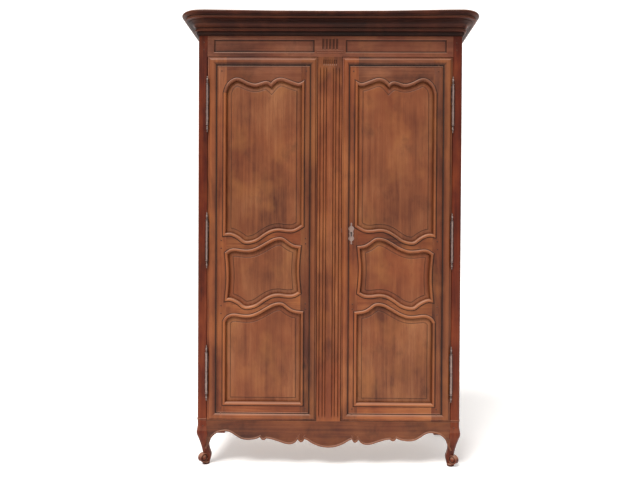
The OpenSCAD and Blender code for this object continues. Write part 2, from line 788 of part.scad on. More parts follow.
module right_side_lower_panel() { color(panel_wood) mirror([1, 0, 0]) side_panel(0); }
module right_side_upper_panel() { color(panel_wood) mirror([1, 0, 0]) side_panel(1); }

// ---- back ----

muntin_w = 70;
back_board_t = 10;
module back_board_space(grow = 0) {
    block([-post_in - groove_deep - grow, back_y - back_board_t / 2 - grow,
        back_rail_z[0][1] - groove_deep - grow],
        [post_in + groove_deep + grow, back_y + back_board_t / 2 + grow,
        back_rail_z[1][0] + groove_deep + grow]);
}
module back_rail(i) {
    difference() {
        union() {
            block([-post_in, back_y - back_t / 2, back_rail_z[i][0]],
                [post_in, back_y + back_t / 2, back_rail_z[i][1]]);
            back_tenons(i);
            mirror([1, 0, 0]) back_tenons(i);
        }
        back_board_space(fit);
        muntin_tenons(fit);
    }
}
module muntin_tenons(grow = 0) {
    tenon_half = 22;
    grown([-tenon_half, back_y - 4, back_rail_z[0][1] - 35],
        [tenon_half, back_y + 4, back_rail_z[1][0] + 35], grow);
}
module back_muntin() {
    color(plain_wood) difference() {
        union() {
            block([-muntin_w / 2, back_y - back_t / 2, back_rail_z[0][1]],
                [muntin_w / 2, back_y + back_t / 2, back_rail_z[1][0]]);
            muntin_tenons();
        }
        for (side = [0, 1]) mirror([side, 0, 0])
            block([muntin_w / 2 - groove_deep - fit, back_y - back_board_t / 2 - fit, 0],
                [muntin_w, back_y + back_board_t / 2 + fit, frame_h]);
    }
}
module back_boards() {
    count = 4;
    gap = 1;
    x0 = muntin_w / 2 - groove_deep + 1;
    x1 = post_in + groove_deep - 1;
    pitch = (x1 - x0 + gap) / count;
    color(plain_wood) for (side = [0, 1]) mirror([side, 0, 0])
        for (i = [0 : count - 1])
            block([x0 + i * pitch, back_y - back_board_t / 2, back_rail_z[0][1] - groove_deep + 1],
                [x0 + (i + 1) * pitch - gap, back_y + back_board_t / 2,
                back_rail_z[1][0] + groove_deep - 1]);
}
module back_top_rail() { color(plain_wood) back_rail(1); }
module back_bottom_rail() { color(plain_wood) back_rail(0); }

// ---- inside: boards, shelves and the cleats that carry them ----

shelf_z = [640, 1090, 1560, 1960];
shelf_front = front + 62;
inside_back = back_y - back_t / 2;
cleat_h = 30;
cleat_t = 18;
side_face = side_x - side_t / 2; // inner face of the side rails

module top_boards() {
    count = 4;
    gap = 1;
    y0 = front + cornice_lap + 2;
    x1 = half_w - cornice_lap - 2;
    pitch = (back - 2 - y0 + gap) / count;
    color(plain_wood) for (i = [0 : count - 1])
        block([-x1, y0 + i * pitch, frame_h], [x1, y0 + (i + 1) * pitch - gap, frame_h + board_t]);
}
module floor_boards() {
    count = 4;
    gap = 1;
    y0 = stop_front;
    pitch = (inside_back - 1 - y0 + gap) / count;
    color(plain_wood) difference() {
        for (i = [0 : count - 1])
            block([-side_face + 1, y0 + i * pitch, apron_top],
                [side_face - 1, y0 + (i + 1) * pitch - gap, apron_top + board_t]);
        post_notches(apron_top - 1, apron_top + board_t + 1);
        slide_hole(apron_top - 5, apron_top + board_t + 5);
        block([-centre_w / 2 - 1, front, apron_top - 1],
            [centre_w / 2 + 1, stop_back + 1, apron_top + board_t + 1]);
    }
}
// Room for the corner posts in a board that fills the case
module post_notches(z0, z1) {
    for (side = [0, 1]) mirror([side, 0, 0]) {
        block([post_in - 1, front, z0], [half_w, post_back + 1, z1]);
        block([post_in - 1, back_post_in - 1, z0], [half_w, back, z1]);
    }
}
module shelves() {
    color(plain_wood) for (z = shelf_z) difference() {
        block([-side_face + 1, shelf_front, z], [side_face - 1, inside_back - 1, z + shelf_t]);
        post_notches(z - 1, z + shelf_t + 1);
    }
}
module shelf_cleats() {
    color(plain_wood) {
        for (side = [0, 1]) mirror([side, 0, 0])
            for (z = concat([apron_top], shelf_z))
                block([side_face - cleat_t, post_back + 2, z - cleat_h],
                    [side_face, back_post_in - 2, z]);
        block([-post_in + 2, front + 30, apron_top - cleat_h],
            [post_in - 2, front + 30 + cleat_t, apron_top]);
        block([-post_in + 2, inside_back - cleat_t, apron_top - cleat_h],
            [post_in - 2, inside_back, apron_top]);
    }
}

// ---- cornice: one profile along the front and sides, turned round the front corners ----

cornice_lap = 16;                // how far the cornice sits in over the frame
drawn_out = 75;                  // the projection and height that the profile is drawn for
drawn_h = 112;
// [distance out from the case, height above the frame], from the inside to the top
function cornice_profile() = [for (q = concat(
    [[-cornice_lap, 0], [4, 0], [4, 6], [7, 8], [9, 18], [13, 20], [13, 25]],
    arc([13, 42], 9, -60, 0), arc([56, 34], 30, 165, 100, 8),
    [[54, 65]], arc([58, 69], 4.5, -90, 60), [[59, 76]], arc([72, 76], 13, 180, 105, 5),
    arc([67, 103], 8, -60, 90, 5), [[-cornice_lap, drawn_h]]))
    [q[0] < 0 ? q[0] : q[0] * cornice_out / drawn_out, q[1] * cornice_h / drawn_h]];
corner_in = cornice_lap + 2;      // centre of the rounded corners, in from the case's faces
corner_x = half_w - corner_in;
corner_y = front + corner_in;

// An eighth of a turn, from the end of the straight part to the mitre
module cornice_corner() {
    rotate_extrude(angle = 45, $fn = 64)
        polygon([for (q = cornice_profile()) [q[0] + corner_in, q[1]]]);
}
module cornice_front() {
    color(dark_wood) {
        translate([-corner_x, front, frame_h]) rotate([90, 0, 90]) linear_extrude(2 * corner_x)
            polygon([for (q = cornice_profile()) [-q[0], q[1]]]);
        for (side = [0, 1]) mirror([side, 0, 0])
            translate([corner_x, corner_y, frame_h]) rotate([0, 0, -90]) cornice_corner();
    }
}
module cornice_return() {
    translate([half_w, back, frame_h]) rotate([90, 0, 0]) linear_extrude(back - corner_y)
        polygon(cornice_profile());
    translate([corner_x, corner_y, frame_h]) mirror([0, 1, 0]) cornice_corner();
}
module cornice_right_return() { color(dark_wood) cornice_return(); }
module cornice_left_return() { color(dark_wood) mirror([1, 0, 0]) cornice_return(); }

front_left_post();
front_right_post();
back_left_post();
back_right_post();
frieze_rail();
centre_post();
apron_rail();
left_side_top_rail();
left_side_middle_rail();
left_side_bottom_rail();
left_side_upper_panel();
left_side_lower_panel();
right_side_top_rail();
right_side_middle_rail();
right_side_bottom_rail();
right_side_upper_panel();
right_side_lower_panel();
back_top_rail();
back_bottom_rail();
back_muntin();
back_boards();
top_boards();
floor_boards();
shelves();
shelf_cleats();
cornice_front();
cornice_left_return();
cornice_right_return();
case_pegs();
left_hinge_pins();
right_hinge_pins();
lock_keeper();
left_hinge_stile();
left_meeting_stile();
left_top_rail();
left_upper_cross_rail();
left_lower_cross_rail();
left_bottom_rail();
left_upper_panel();
left_middle_panel();
left_lower_panel();
left_hinge_barrels();
left_door_pegs();
bolt_guides();
top_bolt();
bottom_bolt();
right_hinge_stile();
right_meeting_stile();
right_top_rail();
right_upper_cross_rail();
right_lower_cross_rail();
right_bottom_rail();
right_upper_panel();
right_middle_panel();
right_lower_panel();
right_hinge_barrels();
right_door_pegs();
lock_case();
lock_bolt();
escutcheon();
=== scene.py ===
"""A two-door walnut armoire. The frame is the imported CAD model; the wood's carved shapes are
built here round it. Shapes are drawn in millimetres and turned into metres when a mesh is made."""
import math

import bmesh
import bpy
import numpy as np
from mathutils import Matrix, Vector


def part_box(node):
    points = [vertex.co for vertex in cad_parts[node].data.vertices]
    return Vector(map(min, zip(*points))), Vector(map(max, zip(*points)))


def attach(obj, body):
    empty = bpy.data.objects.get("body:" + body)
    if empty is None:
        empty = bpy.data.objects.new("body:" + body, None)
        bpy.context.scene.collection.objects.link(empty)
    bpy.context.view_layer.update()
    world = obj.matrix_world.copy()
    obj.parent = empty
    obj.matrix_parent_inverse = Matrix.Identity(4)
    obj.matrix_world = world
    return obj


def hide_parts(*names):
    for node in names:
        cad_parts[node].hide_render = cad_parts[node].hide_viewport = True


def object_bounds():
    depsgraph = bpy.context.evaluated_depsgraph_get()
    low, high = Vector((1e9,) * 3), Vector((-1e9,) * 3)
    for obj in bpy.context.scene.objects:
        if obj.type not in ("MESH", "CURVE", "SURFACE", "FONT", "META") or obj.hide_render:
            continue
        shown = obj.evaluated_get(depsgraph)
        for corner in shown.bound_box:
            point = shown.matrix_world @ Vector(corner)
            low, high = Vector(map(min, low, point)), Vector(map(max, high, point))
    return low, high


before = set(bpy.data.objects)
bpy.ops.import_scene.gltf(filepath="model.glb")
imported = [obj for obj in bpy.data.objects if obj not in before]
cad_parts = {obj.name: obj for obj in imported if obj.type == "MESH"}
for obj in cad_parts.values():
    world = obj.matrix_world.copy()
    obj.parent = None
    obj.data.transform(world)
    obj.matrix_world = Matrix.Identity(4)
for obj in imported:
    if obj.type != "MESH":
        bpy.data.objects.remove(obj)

CAD_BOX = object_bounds()
MM = 0.001


# ---- the frame's main sizes ----

def low(node):
    """Lowest corner of a CAD node, in millimetres."""
    return np.array(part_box(node)[0]) / MM


def high(node):
    """Highest corner of a CAD node, in millimetres."""
    return np.array(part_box(node)[1]) / MM


FRONT = low("apron_rail")[1]
BACK = high("back_top_rail")[1]
HALF_W = high("back_right_post")[0]
POST_IN = low("back_right_post")[0]
FRAME_H = high("back_right_post")[2]
TOP = CAD_BOX[1][2] / MM
CORNICE_OUT = CAD_BOX[1][0] / MM - HALF_W
DOOR_OUT = -low("left_hinge_stile")[0]
DOOR_W = high("left_meeting_stile")[0] - low("left_hinge_stile")[0]
DOOR_FOOT = low("left_hinge_stile")[2]
DOOR_TOP = high("left_hinge_stile")[2]
DOOR_T = 30.0
FRIEZE_Z = DOOR_TOP + 3
APRON_TOP = DOOR_FOOT - 3
POST_D = 62.0
CENTRE_HALF = 62.5

# Lines of the beads round the door panels, and heights that the waves are drawn from
HINGE_LINE = 90.0
FREE_LINE = DOOR_W - 76
BEAD_HALF = 8.0
STILE_IN = HINGE_LINE + BEAD_HALF
RAIL_END = FREE_LINE - BEAD_HALF
UPPER_RAIL_Z = 1190.0
LOWER_RAIL_Z = 848.0
PANEL_FOOT_Z = 333.0
TOP_WAVE_Z = DOOR_TOP - 132

# Waves: [part of the way across the panel, height]
RAIL_UPPER_EDGE = [[0, 31], [0.08, 33], [0.175, 15], [0.25, -8], [0.32, -9], [0.415, 3],
                   [0.51, 30], [0.605, 51], [0.70, 57], [0.80, 52], [0.895, 54], [1, 78]]
RAIL_LOWER_EDGE = [[0, -85], [0.03, -66], [0.08, -54], [0.135, -51], [0.24, -57],
                   [0.34, -56], [0.44, -41], [0.535, -19], [0.63, 2], [0.71, 9],
                   [0.76, 4], [0.81, -12], [0.885, -30], [1, -37]]
TOP_WAVE_HINGE = [[0, -55], [0.04, -13], [0.147, 16], [0.29, -7], [0.395, -16],
                  [0.53, -1], [0.59, -16]]
TOP_WAVE_FREE = [[0.59, -16], [0.645, 7], [0.727, 16], [0.85, -1], [0.946, -13], [1, -4]]
MIDDLE_START, MIDDLE_END, MIDDLE_BOW = 0.025, 0.965, 8.0
BOW_FOOT_HINGE = LOWER_RAIL_Z + 31
BOW_HEAD_HINGE = UPPER_RAIL_Z - 62
BOW_FOOT_FREE = LOWER_RAIL_Z + 66
BOW_HEAD_FREE = UPPER_RAIL_Z - 35

# Lower edge of the apron, from the middle outwards
APRON_PARTS = [
    [[0, 104], [40, 109], [80, 124], [108, 141], [126, 149]],
    [[126, 149], [131, 137], [141, 131], [152, 136], [160, 147]],
    [[160, 147], [173, 130], [194, 121], [222, 122], [254, 132], [296, 145], [324, 150]],
    [[324, 150], [332, 143], [341, 141], [351, 145], [358, 156]],
    [[358, 156], [372, 149], [392, 144], [424, 141], [456, 146], [482, 160], [506, 176],
     [530, 185], [558, 184], [588, 175], [609, 158], [621, 140], [629, 118], [641, 92]]]


# ---- lines and outlines ----

def smooth(points, steps=8):
    """A smooth line through the points, with this many steps between neighbours."""
    p = np.array(points, float)
    n = len(p)
    line = []
    for i in range(n - 1):
        a, b, c, d = p[max(i - 1, 0)], p[i], p[i + 1], p[min(i + 2, n - 1)]
        for k in range(steps):
            t = k / steps
            line.append(0.5 * (2 * b + (c - a) * t + (2 * a - 5 * b + 4 * c - d) * t * t
                               + (3 * b - 3 * c + d - a) * t ** 3))
    line.append(p[-1])
    return np.array(line)


def spaced(line, count):
    """The same line as this many evenly spaced points."""
    along = np.r_[0, np.cumsum(np.linalg.norm(np.diff(line, axis=0), axis=1))]
    at = np.linspace(0, along[-1], count)
    return np.stack([np.interp(at, along, line[:, k]) for k in range(line.shape[1])], 1)


def evenly(line, gap=5.0):
    """The same line with points about gap apart."""
    length = np.linalg.norm(np.diff(line, axis=0), axis=1).sum()
    return spaced(line, max(3, int(length / gap) + 1))


def normals(line):
    """At each point, the direction to the right of the way the line runs."""
    t = np.gradient(line, axis=0)
    n = np.stack([t[:, 1], -t[:, 0]], 1)
    return n / np.maximum(np.linalg.norm(n, axis=1, keepdims=True), 1e-9)


def shifted(edges, by, closed):
    """Edges that meet at corners, moved to their right by a small distance, mitred at corners."""
    sides = [normals(e) for e in edges]
    moved = [e + n * by for e, n in zip(edges, sides)]
    count = len(edges)
    for i in range(count if closed else count - 1):
        j = (i + 1) % count
        n0, n1 = sides[i][-1], sides[j][0]
        corner = edges[i][-1] + by * (n0 + n1) / max(1 + n0 @ n1, 0.35)
        moved[i][-1] = corner
        moved[j][0] = corner
    for m in moved:
        m[1:-1] += 0.15 * (m[:-2] + m[2:] - 2 * m[1:-1])
    return [spaced(m, len(m)) for m in moved]


def moved_to(edges, distances, closed=True, step=2.0):
    """{distance: the edges moved to their right by it}, in small steps so that bends stay clean."""
    found = {}
    for wanted in (sorted(d for d in distances if d >= 0),
                   sorted((d for d in distances if d < 0), reverse=True)):
        now, at = edges, 0.0
        for d in wanted:
            if abs(d - at) > 1e-9:
                steps = max(1, math.ceil(abs(d - at) / step))
                for _ in range(steps):
                    now = shifted(now, (d - at) / steps, closed)
                at = d
            found[d] = now
    return found


def across(points, z):
    return [[HINGE_LINE + (FREE_LINE - HINGE_LINE) * t, z + h] for t, h in points]


def section(points, a, b):
    """The part of a wave from a to b, with its height worked out at both ends."""
    t, h = np.array(points).T
    inner = [[p, q] for p, q in points if a + 0.02 <= p <= b - 0.02]
    return [[a, np.interp(a, t, h)]] + inner + [[b, np.interp(b, t, h)]]


def bowed(t, bow, z0, z1):
    k = np.linspace(0, 1, 9)
    u = HINGE_LINE + (FREE_LINE - HINGE_LINE) * t + bow * np.sin(math.pi * k)
    return np.stack([u, z0 + (z1 - z0) * k], 1)


def opening_edges():
    """The bead's middle line round each door panel: {panel: [(which side, line)]}, anticlockwise."""
    up = across(RAIL_UPPER_EDGE, UPPER_RAIL_Z)
    wave_free = across(TOP_WAVE_FREE, TOP_WAVE_Z)
    wave_hinge = across(TOP_WAVE_HINGE, TOP_WAVE_Z)
    upper = [("foot", smooth(up)), ("free", np.array([up[-1], wave_free[-1]])),
             ("head", smooth(wave_free[::-1])), ("head", smooth(wave_hinge[::-1])),
             ("hinge", np.array([wave_hinge[0], up[0]]))]
    foot = across(section(RAIL_UPPER_EDGE, MIDDLE_START, MIDDLE_END), LOWER_RAIL_Z)
    head = across(section(RAIL_LOWER_EDGE, MIDDLE_START, MIDDLE_END), UPPER_RAIL_Z)
    middle = [("foot", smooth(foot)),
              ("free", bowed(MIDDLE_END, -MIDDLE_BOW, foot[-1][1], head[-1][1])),
              ("head", smooth(head[::-1])),
              ("hinge", bowed(MIDDLE_START, MIDDLE_BOW, head[0][1], foot[0][1]))]
    low_head = across(RAIL_LOWER_EDGE, LOWER_RAIL_Z)
    lower = [("foot", np.array([[HINGE_LINE, PANEL_FOOT_Z], [FREE_LINE, PANEL_FOOT_Z]])),
             ("free", np.array([[FREE_LINE, PANEL_FOOT_Z], low_head[-1]])),
             ("head", smooth(low_head[::-1])),
             ("hinge", np.array([low_head[0], [HINGE_LINE, PANEL_FOOT_Z]]))]
    return {"upper": upper, "middle": middle, "lower": lower}


# ---- meshes ----

class Shape:
    """Closed shells gathered into one mesh: points in millimetres, and on each a shading value: grime
    and painted shade where positive, wear and painted highlight where negative.
    """

    def __init__(self):
        self.points, self.faces, self.dirt_and_shading = [], [], []

    def add(self, points, faces, dirt_and_shading=None):
        base = len(self.points)
        self.points.extend(map(tuple, points))
        self.faces.extend([[base + i for i in f] for f in faces])
        self.dirt_and_shading.extend(dirt_and_shading if dirt_and_shading is not None else [0.0] * len(points))

    def loft(self, rows, dirt_and_shading=None, closed=False):
        """Rows of points round a closed section, joined one to the next. The shading values are one per
        point of the section: grime and painted shade where positive, wear and painted highlight where
        negative. closed joins the last row to the first; else both ends are capped."""
        rows = np.array(rows, float)
        count, around = rows.shape[:2]
        faces = []
        for i in range(count if closed else count - 1):
            a, b = i * around, (i + 1) % count * around
            for j in range(around):
                k = (j + 1) % around
                faces.append([a + j, b + j, b + k, a + k])
        if not closed:
            faces.append(list(range(around)))
            faces.append([(count - 1) * around + j for j in reversed(range(around))])
        values = list(dirt_and_shading) * count if dirt_and_shading is not None else None
        self.add(rows.reshape(-1, 3), faces, values)

    def prism(self, outline, place, h0, h1, edge=1.2):
        """A board with this outline, from depth h0 to h1, with its arrises eased."""
        mesh = bmesh.new()
        rings = [[mesh.verts.new(place(a, h, z)) for a, z in outline] for h in (h0, h1)]
        count = len(outline)
        for j in range(count):
            k = (j + 1) % count
            mesh.faces.new([rings[0][j], rings[0][k], rings[1][k], rings[1][j]])
        mesh.faces.new(rings[0][::-1])
        mesh.faces.new(rings[1])
        bmesh.ops.recalc_face_normals(mesh, faces=mesh.faces)
        if edge:
            sharp = [e for e in mesh.edges if e.calc_face_angle(0) > 0.6]
            bmesh.ops.bevel(mesh, geom=sharp, offset=edge, segments=2, profile=0.6,
                            affect="EDGES", clamp_overlap=True)
        mesh.verts.ensure_lookup_table()
        mesh.verts.index_update()
        self.add([tuple(v.co) for v in mesh.verts],
                 [[v.index for v in f.verts] for f in mesh.faces])
        mesh.free()

    def box(self, corner, other, edge=1.2):
        (x0, y0, z0), (x1, y1, z1) = corner, other
        self.prism([[x0, z0], [x1, z0], [x1, z1], [x0, z1]],
                   lambda a, h, z: (a, h, z), y0, y1, edge)


def piece(shape, name, body, nodes, material, mirror=False, sharp=38):
    """Makes the shape an object that rides on a body and stands for its CAD nodes."""
    points = np.array(shape.points) * MM
    if mirror:
        points[:, 0] *= -1
    mesh = bpy.data.meshes.new(name)
    mesh.from_pydata([tuple(p) for p in points], [], shape.faces)
    work = bmesh.new()
    work.from_mesh(mesh)
    bmesh.ops.recalc_face_normals(work, faces=work.faces)
    work.to_mesh(mesh)
    work.free()
    mesh.shade_smooth()
    mesh.set_sharp_from_angle(angle=math.radians(sharp))
    # Per-point shading read by the materials: grime and painted shade, wear and painted highlight
    dirt_and_shading = mesh.attributes.new("dirt_and_shading", "FLOAT", "POINT")
    dirt_and_shading.data.foreach_set("value", np.array(shape.dirt_and_shading, dtype=np.float32))
    mesh.materials.append(material)
    made = bpy.data.objects.new(name, mesh)
    bpy.context.scene.collection.objects.link(made)
    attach(made, body)
    if nodes:
        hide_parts(*nodes)
    return made


def turned(centre, profile, around=28):
    """Rows for a turned shape round a vertical axis: profile is [radius, height]."""
    turn = np.linspace(0, 2 * math.pi, around, endpoint=False)
    return [[(centre[0] + max(r, 0.05) * math.cos(t), centre[1] + max(r, 0.05) * math.sin(t),
              centre[2] + z) for t in turn] for r, z in profile]


# ---- materials ----

def new_material(name):
    material = bpy.data.materials.new(name)
    material.use_nodes = True
    tree = material.node_tree
    shader = tree.nodes["Principled BSDF"]
    return material, tree, shader


class Nodes:
    """Short names for adding and linking the nodes of one material."""

    def __init__(self, tree):
        self.tree = tree

    def node(self, kind, **settings):
        made = self.tree.nodes.new(kind)
        for key, value in settings.items():
            setattr(made, key, value)
        return made

    def link(self, start, end):
        self.tree.links.new(start, end)

    def noise(self, vector, scale, detail=4.0, roughness=0.55, distortion=0.0):
        made = self.node("ShaderNodeTexNoise")
        made.inputs["Scale"].default_value = scale
        made.inputs["Detail"].default_value = detail
        made.inputs["Roughness"].default_value = roughness
        made.inputs["Distortion"].default_value = distortion
        self.link(vector, made.inputs["Vector"])
        return made.outputs["Fac"]

    def stretched(self, vector, scale, offset=(0, 0, 0)):
        made = self.node("ShaderNodeMapping")
        made.inputs["Scale"].default_value = scale
        made.inputs["Location"].default_value = offset
        self.link(vector, made.inputs["Vector"])
        return made.outputs["Vector"]

    def ramp(self, value, *stops):
        """A colour ramp: stops are (place, colour)."""
        made = self.node("ShaderNodeValToRGB")
        elements = made.color_ramp.elements
        while len(elements) < len(stops):
            elements.new(0.5)
        for element, (place, colour) in zip(elements, stops):
            element.position = place
            element.color = (*colour, 1) if len(colour) == 3 else colour
        self.link(value, made.inputs["Fac"])
        return made.outputs["Color"]

    def grey(self, value, *stops):
        return self.ramp(value, *[(place, (g, g, g)) for place, g in stops])

    def mix(self, factor, a, b, blend="MIX"):
        made = self.node("ShaderNodeMix", data_type="RGBA", blend_type=blend)
        for socket, value in ((made.inputs[0], factor), (made.inputs[6], a), (made.inputs[7], b)):
            if isinstance(value, bpy.types.NodeSocket):
                self.link(value, socket)
            elif isinstance(value, (int, float)):
                socket.default_value = value
            else:
                socket.default_value = (*value, 1)
        return made.outputs[2]

    def math(self, operation, a, b=0.0):
        made = self.node("ShaderNodeMath", operation=operation)
        for socket, value in zip(made.inputs, (a, b)):
            if isinstance(value, bpy.types.NodeSocket):
                self.link(value, socket)
            else:
                socket.default_value = value
        return made.outputs[0]

    def bump(self, height, strength, distance, normal=None):
        made = self.node("ShaderNodeBump")
        made.inputs["Strength"].default_value = strength
        made.inputs["Distance"].default_value = distance
        self.link(height, made.inputs["Height"])
        if normal:
            self.link(normal, made.inputs["Normal"])
        return made.outputs["Normal"]


def wood(name, grain, dark, middle, light, seed, figure=1.0, wax=0.42, sheen=0.32, dust=0.42, knots=()):
    """Old wood with its grain along x, y or z. seed moves the pattern, so that no two boards
    show the same figure. knots are (x, z, radius) in millimetres, on the front of the piece."""
    material, tree, shader = new_material(name)
    n = Nodes(tree)
    rng = np.random.default_rng(seed)
    offset = tuple(rng.uniform(-20, 20, 3))
    place = n.node("ShaderNodeTexCoord").outputs["Object"]
    along = "xyz".index(grain)

    def grained(across_scale, along_scale):
        scale = [across_scale] * 3
        scale[along] = along_scale
        return n.stretched(place, scale, offset)

    # Broad figure: growth rings cut lengthways, bent by slow noise
    bend = n.noise(grained(9, 0.9), 1.0, 3, 0.5)
    rings_in = n.math("ADD", n.noise(grained(5, 0.5), 1.0, 2, 0.45, 0.4),
                      n.math("MULTIPLY", bend, 0.25))
    rings = n.math("SINE", n.math("MULTIPLY", rings_in, 95 * figure))
    rings = n.math("ADD", n.math("MULTIPLY", rings, 0.5), 0.5)
    streaks = n.noise(grained(75, 1.5), 1.0, 6, 0.68)
    fibres = n.noise(grained(420, 9), 1.0, 4, 0.6)
    pores = n.noise(grained(900, 26), 1.0, 2, 0.5)
    cloud = n.noise(n.stretched(place, (5, 5, 3.5), offset), 1.0, 4, 0.55)
    tone = n.math("ADD", n.math("MULTIPLY", streaks, 0.30),
                  n.math("MULTIPLY", rings, 0.045 * figure))
    tone = n.math("ADD", tone, n.math("MULTIPLY", bend, 0.22))
    tone = n.math("ADD", tone, n.math("MULTIPLY", cloud, 0.46))
    colour = n.ramp(tone, (0.39, dark), (0.51, middle), (0.64, light))
    colour = n.mix(0.8, colour, n.grey(fibres, (0.30, 0.78), (0.62, 1.10)), "MULTIPLY")
    colour = n.mix(0.8, colour, n.grey(pores, (0.30, 0.55), (0.42, 1.0)), "MULTIPLY")
    # Uneven ageing: redder and browner patches, and old smudges of wax and dirt
    patch = n.noise(n.stretched(place, (2.6, 2.6, 1.7), offset), 1.0, 3, 0.5)
    colour = n.mix(n.grey(patch, (0.38, 0.0), (0.68, 0.55)), colour,
                   tuple(np.array(middle) * (1.12, 0.80, 0.58)))
    amber = n.noise(n.stretched(place, (7, 7, 5), offset[::-1]), 1.0, 3, 0.55)
    colour = n.mix(n.grey(amber, (0.50, 0.0), (0.72, 0.50)), colour,
                   tuple(np.array(light) * (1.05, 1.0, 0.72)))
    other = n.noise(n.stretched(place, (4, 4, 2.4), offset[::-1]), 1.0, 3, 0.5)
    colour = n.mix(n.grey(other, (0.50, 0.0), (0.78, 0.38)), colour,
                   tuple(np.array(dark) * (1.15, 1.0, 0.8)))
    smudge = n.noise(n.stretched(place, (9, 9, 6), offset[::-1]), 1.0, 5, 0.65)
    colour = n.mix(n.grey(smudge, (0.57, 0.0), (0.78, 0.55)), colour,
                   tuple(np.array(dark) * 0.5))
    for x, z, radius in knots:
        colour = knot(n, place, colour, dark, x, z, radius)
    # Grime and painted shade in the hollows of mouldings, and wear and painted highlight on arrises and
    # crests, from the per-point shading value
    grime_and_shading = n.node("ShaderNodeAttribute", attribute_name="dirt_and_shading").outputs["Fac"]
    uneven = n.noise(n.stretched(place, (30, 30, 30), offset), 1.0, 3, 0.6)
    grime_and_shading = n.math("MULTIPLY", grime_and_shading, n.math("ADD", n.math("MULTIPLY", uneven, 0.7), 0.65))
    colour = n.mix(n.math("MINIMUM", n.math("MAXIMUM", grime_and_shading, 0.0), 0.9), colour,
                   (0.010, 0.003, 0.0015))
    wear_and_highlight = n.math("MULTIPLY", n.math("MINIMUM", grime_and_shading, 0.0), -0.5)
    colour = n.mix(wear_and_highlight, colour, tuple(np.minimum(np.array(light) * 1.35, 1)))
    # Dust and bloomed wax on the surfaces that face upwards, and a painted highlight there: the more a
    # surface faces up, the paler it is painted
    facing = n.node("ShaderNodeSeparateXYZ")
    n.link(n.node("ShaderNodeNewGeometry").outputs["Normal"], facing.inputs[0])
    upward_dust_and_highlight = n.math("MULTIPLY", n.grey(facing.outputs["Z"], (0.10, 0.0), (0.62, 1.0)), dust)
    colour = n.mix(upward_dust_and_highlight, colour, srgb(196, 146, 120))
    n.link(colour, shader.inputs["Base Color"])
    gloss = n.math("ADD", n.math("MULTIPLY", smudge, 0.22), wax - 0.08)
    gloss = n.math("ADD", gloss, n.math("MULTIPLY", n.math("MAXIMUM", grime_and_shading, 0.0), 0.25))
    n.link(gloss, shader.inputs["Roughness"])
    shader.inputs["Specular IOR Level"].default_value = sheen
    height = n.math("ADD", n.math("MULTIPLY", fibres, 0.5), n.math("MULTIPLY", pores, 0.5))
    fine = n.bump(height, 0.30, 0.0006)
    broad = n.noise(n.stretched(place, (11, 11, 6), offset), 1.0, 2, 0.5)
    n.link(n.bump(broad, 0.35, 0.004, fine), shader.inputs["Normal"])
    return material


def knot(n, place, colour, dark, x, z, radius):
    """A dark knot with a soft rim at one place on the front."""
    centre = n.node("ShaderNodeVectorMath", operation="SUBTRACT")
    n.link(place, centre.inputs[0])
    centre.inputs[1].default_value = (x * MM, FRONT * MM, z * MM)
    size = n.stretched(centre.outputs[0], (1 / (radius * MM), 12, 0.55 / (radius * MM)))
    wobble = n.noise(place, 90, 3, 0.6)
    length = n.node("ShaderNodeVectorMath", operation="LENGTH")
    n.link(size, length.inputs[0])
    reach = n.math("ADD", length.outputs["Value"], n.math("MULTIPLY", wobble, 0.9))
    return n.mix(n.grey(reach, (0.55, 0.85), (1.0, 0.30)), colour, tuple(np.array(dark) * 0.35))


def iron_material():
    """Old forged iron: brown-grey with rust patches, a painted highlight on the surfaces that face the
    front, and grime and painted shade in the hollows.
    """
    material, tree, shader = new_material("old_iron")
    n = Nodes(tree)
    place = n.node("ShaderNodeTexCoord").outputs["Object"]
    spots = n.noise(place, 60, 4, 0.55)
    colour = n.ramp(spots, (0.34, (0.028, 0.012, 0.012)), (0.52, (0.085, 0.050, 0.045)),
                    (0.70, (0.20, 0.14, 0.13)))
    rust = n.noise(place, 45, 4, 0.6)
    colour = n.mix(n.grey(rust, (0.52, 0.0), (0.75, 0.7)), colour, (0.070, 0.022, 0.012))
    # Painted highlight: surfaces that face the front are painted lighter
    facing = n.node("ShaderNodeSeparateXYZ")
    n.link(n.node("ShaderNodeNewGeometry").outputs["Normal"], facing.inputs[0])
    front = n.grey(n.math("MULTIPLY", facing.outputs["Y"], -1.0), (0.78, 0.0), (0.97, 0.55))
    colour = n.mix(front, colour, (0.48, 0.34, 0.29))
    # Grime and painted shade: the hollows are darkened by the per-point shading value
    grime_and_shading = n.node("ShaderNodeAttribute", attribute_name="dirt_and_shading").outputs["Fac"]
    colour = n.mix(n.math("MAXIMUM", grime_and_shading, 0.0), colour, (0.008, 0.005, 0.004))
    n.link(colour, shader.inputs["Base Color"])
    n.link(n.grey(rust, (0.5, 0.45), (0.75, 0.1)), shader.inputs["Metallic"])
    n.link(n.grey(spots, (0.3, 0.46), (0.7, 0.28)), shader.inputs["Roughness"])
    n.link(n.bump(spots, 0.35, 0.001), shader.inputs["Normal"])
    return material


def srgb(r, g, b):
    """A colour given as 0-255 screen values, as the linear colour that shaders use."""
    return tuple(((c / 255 + 0.055) / 1.055) ** 2.4 for c in (r, g, b))


FRAME_TONES = srgb(70, 30, 13), srgb(122, 64, 33), srgb(154, 92, 52)
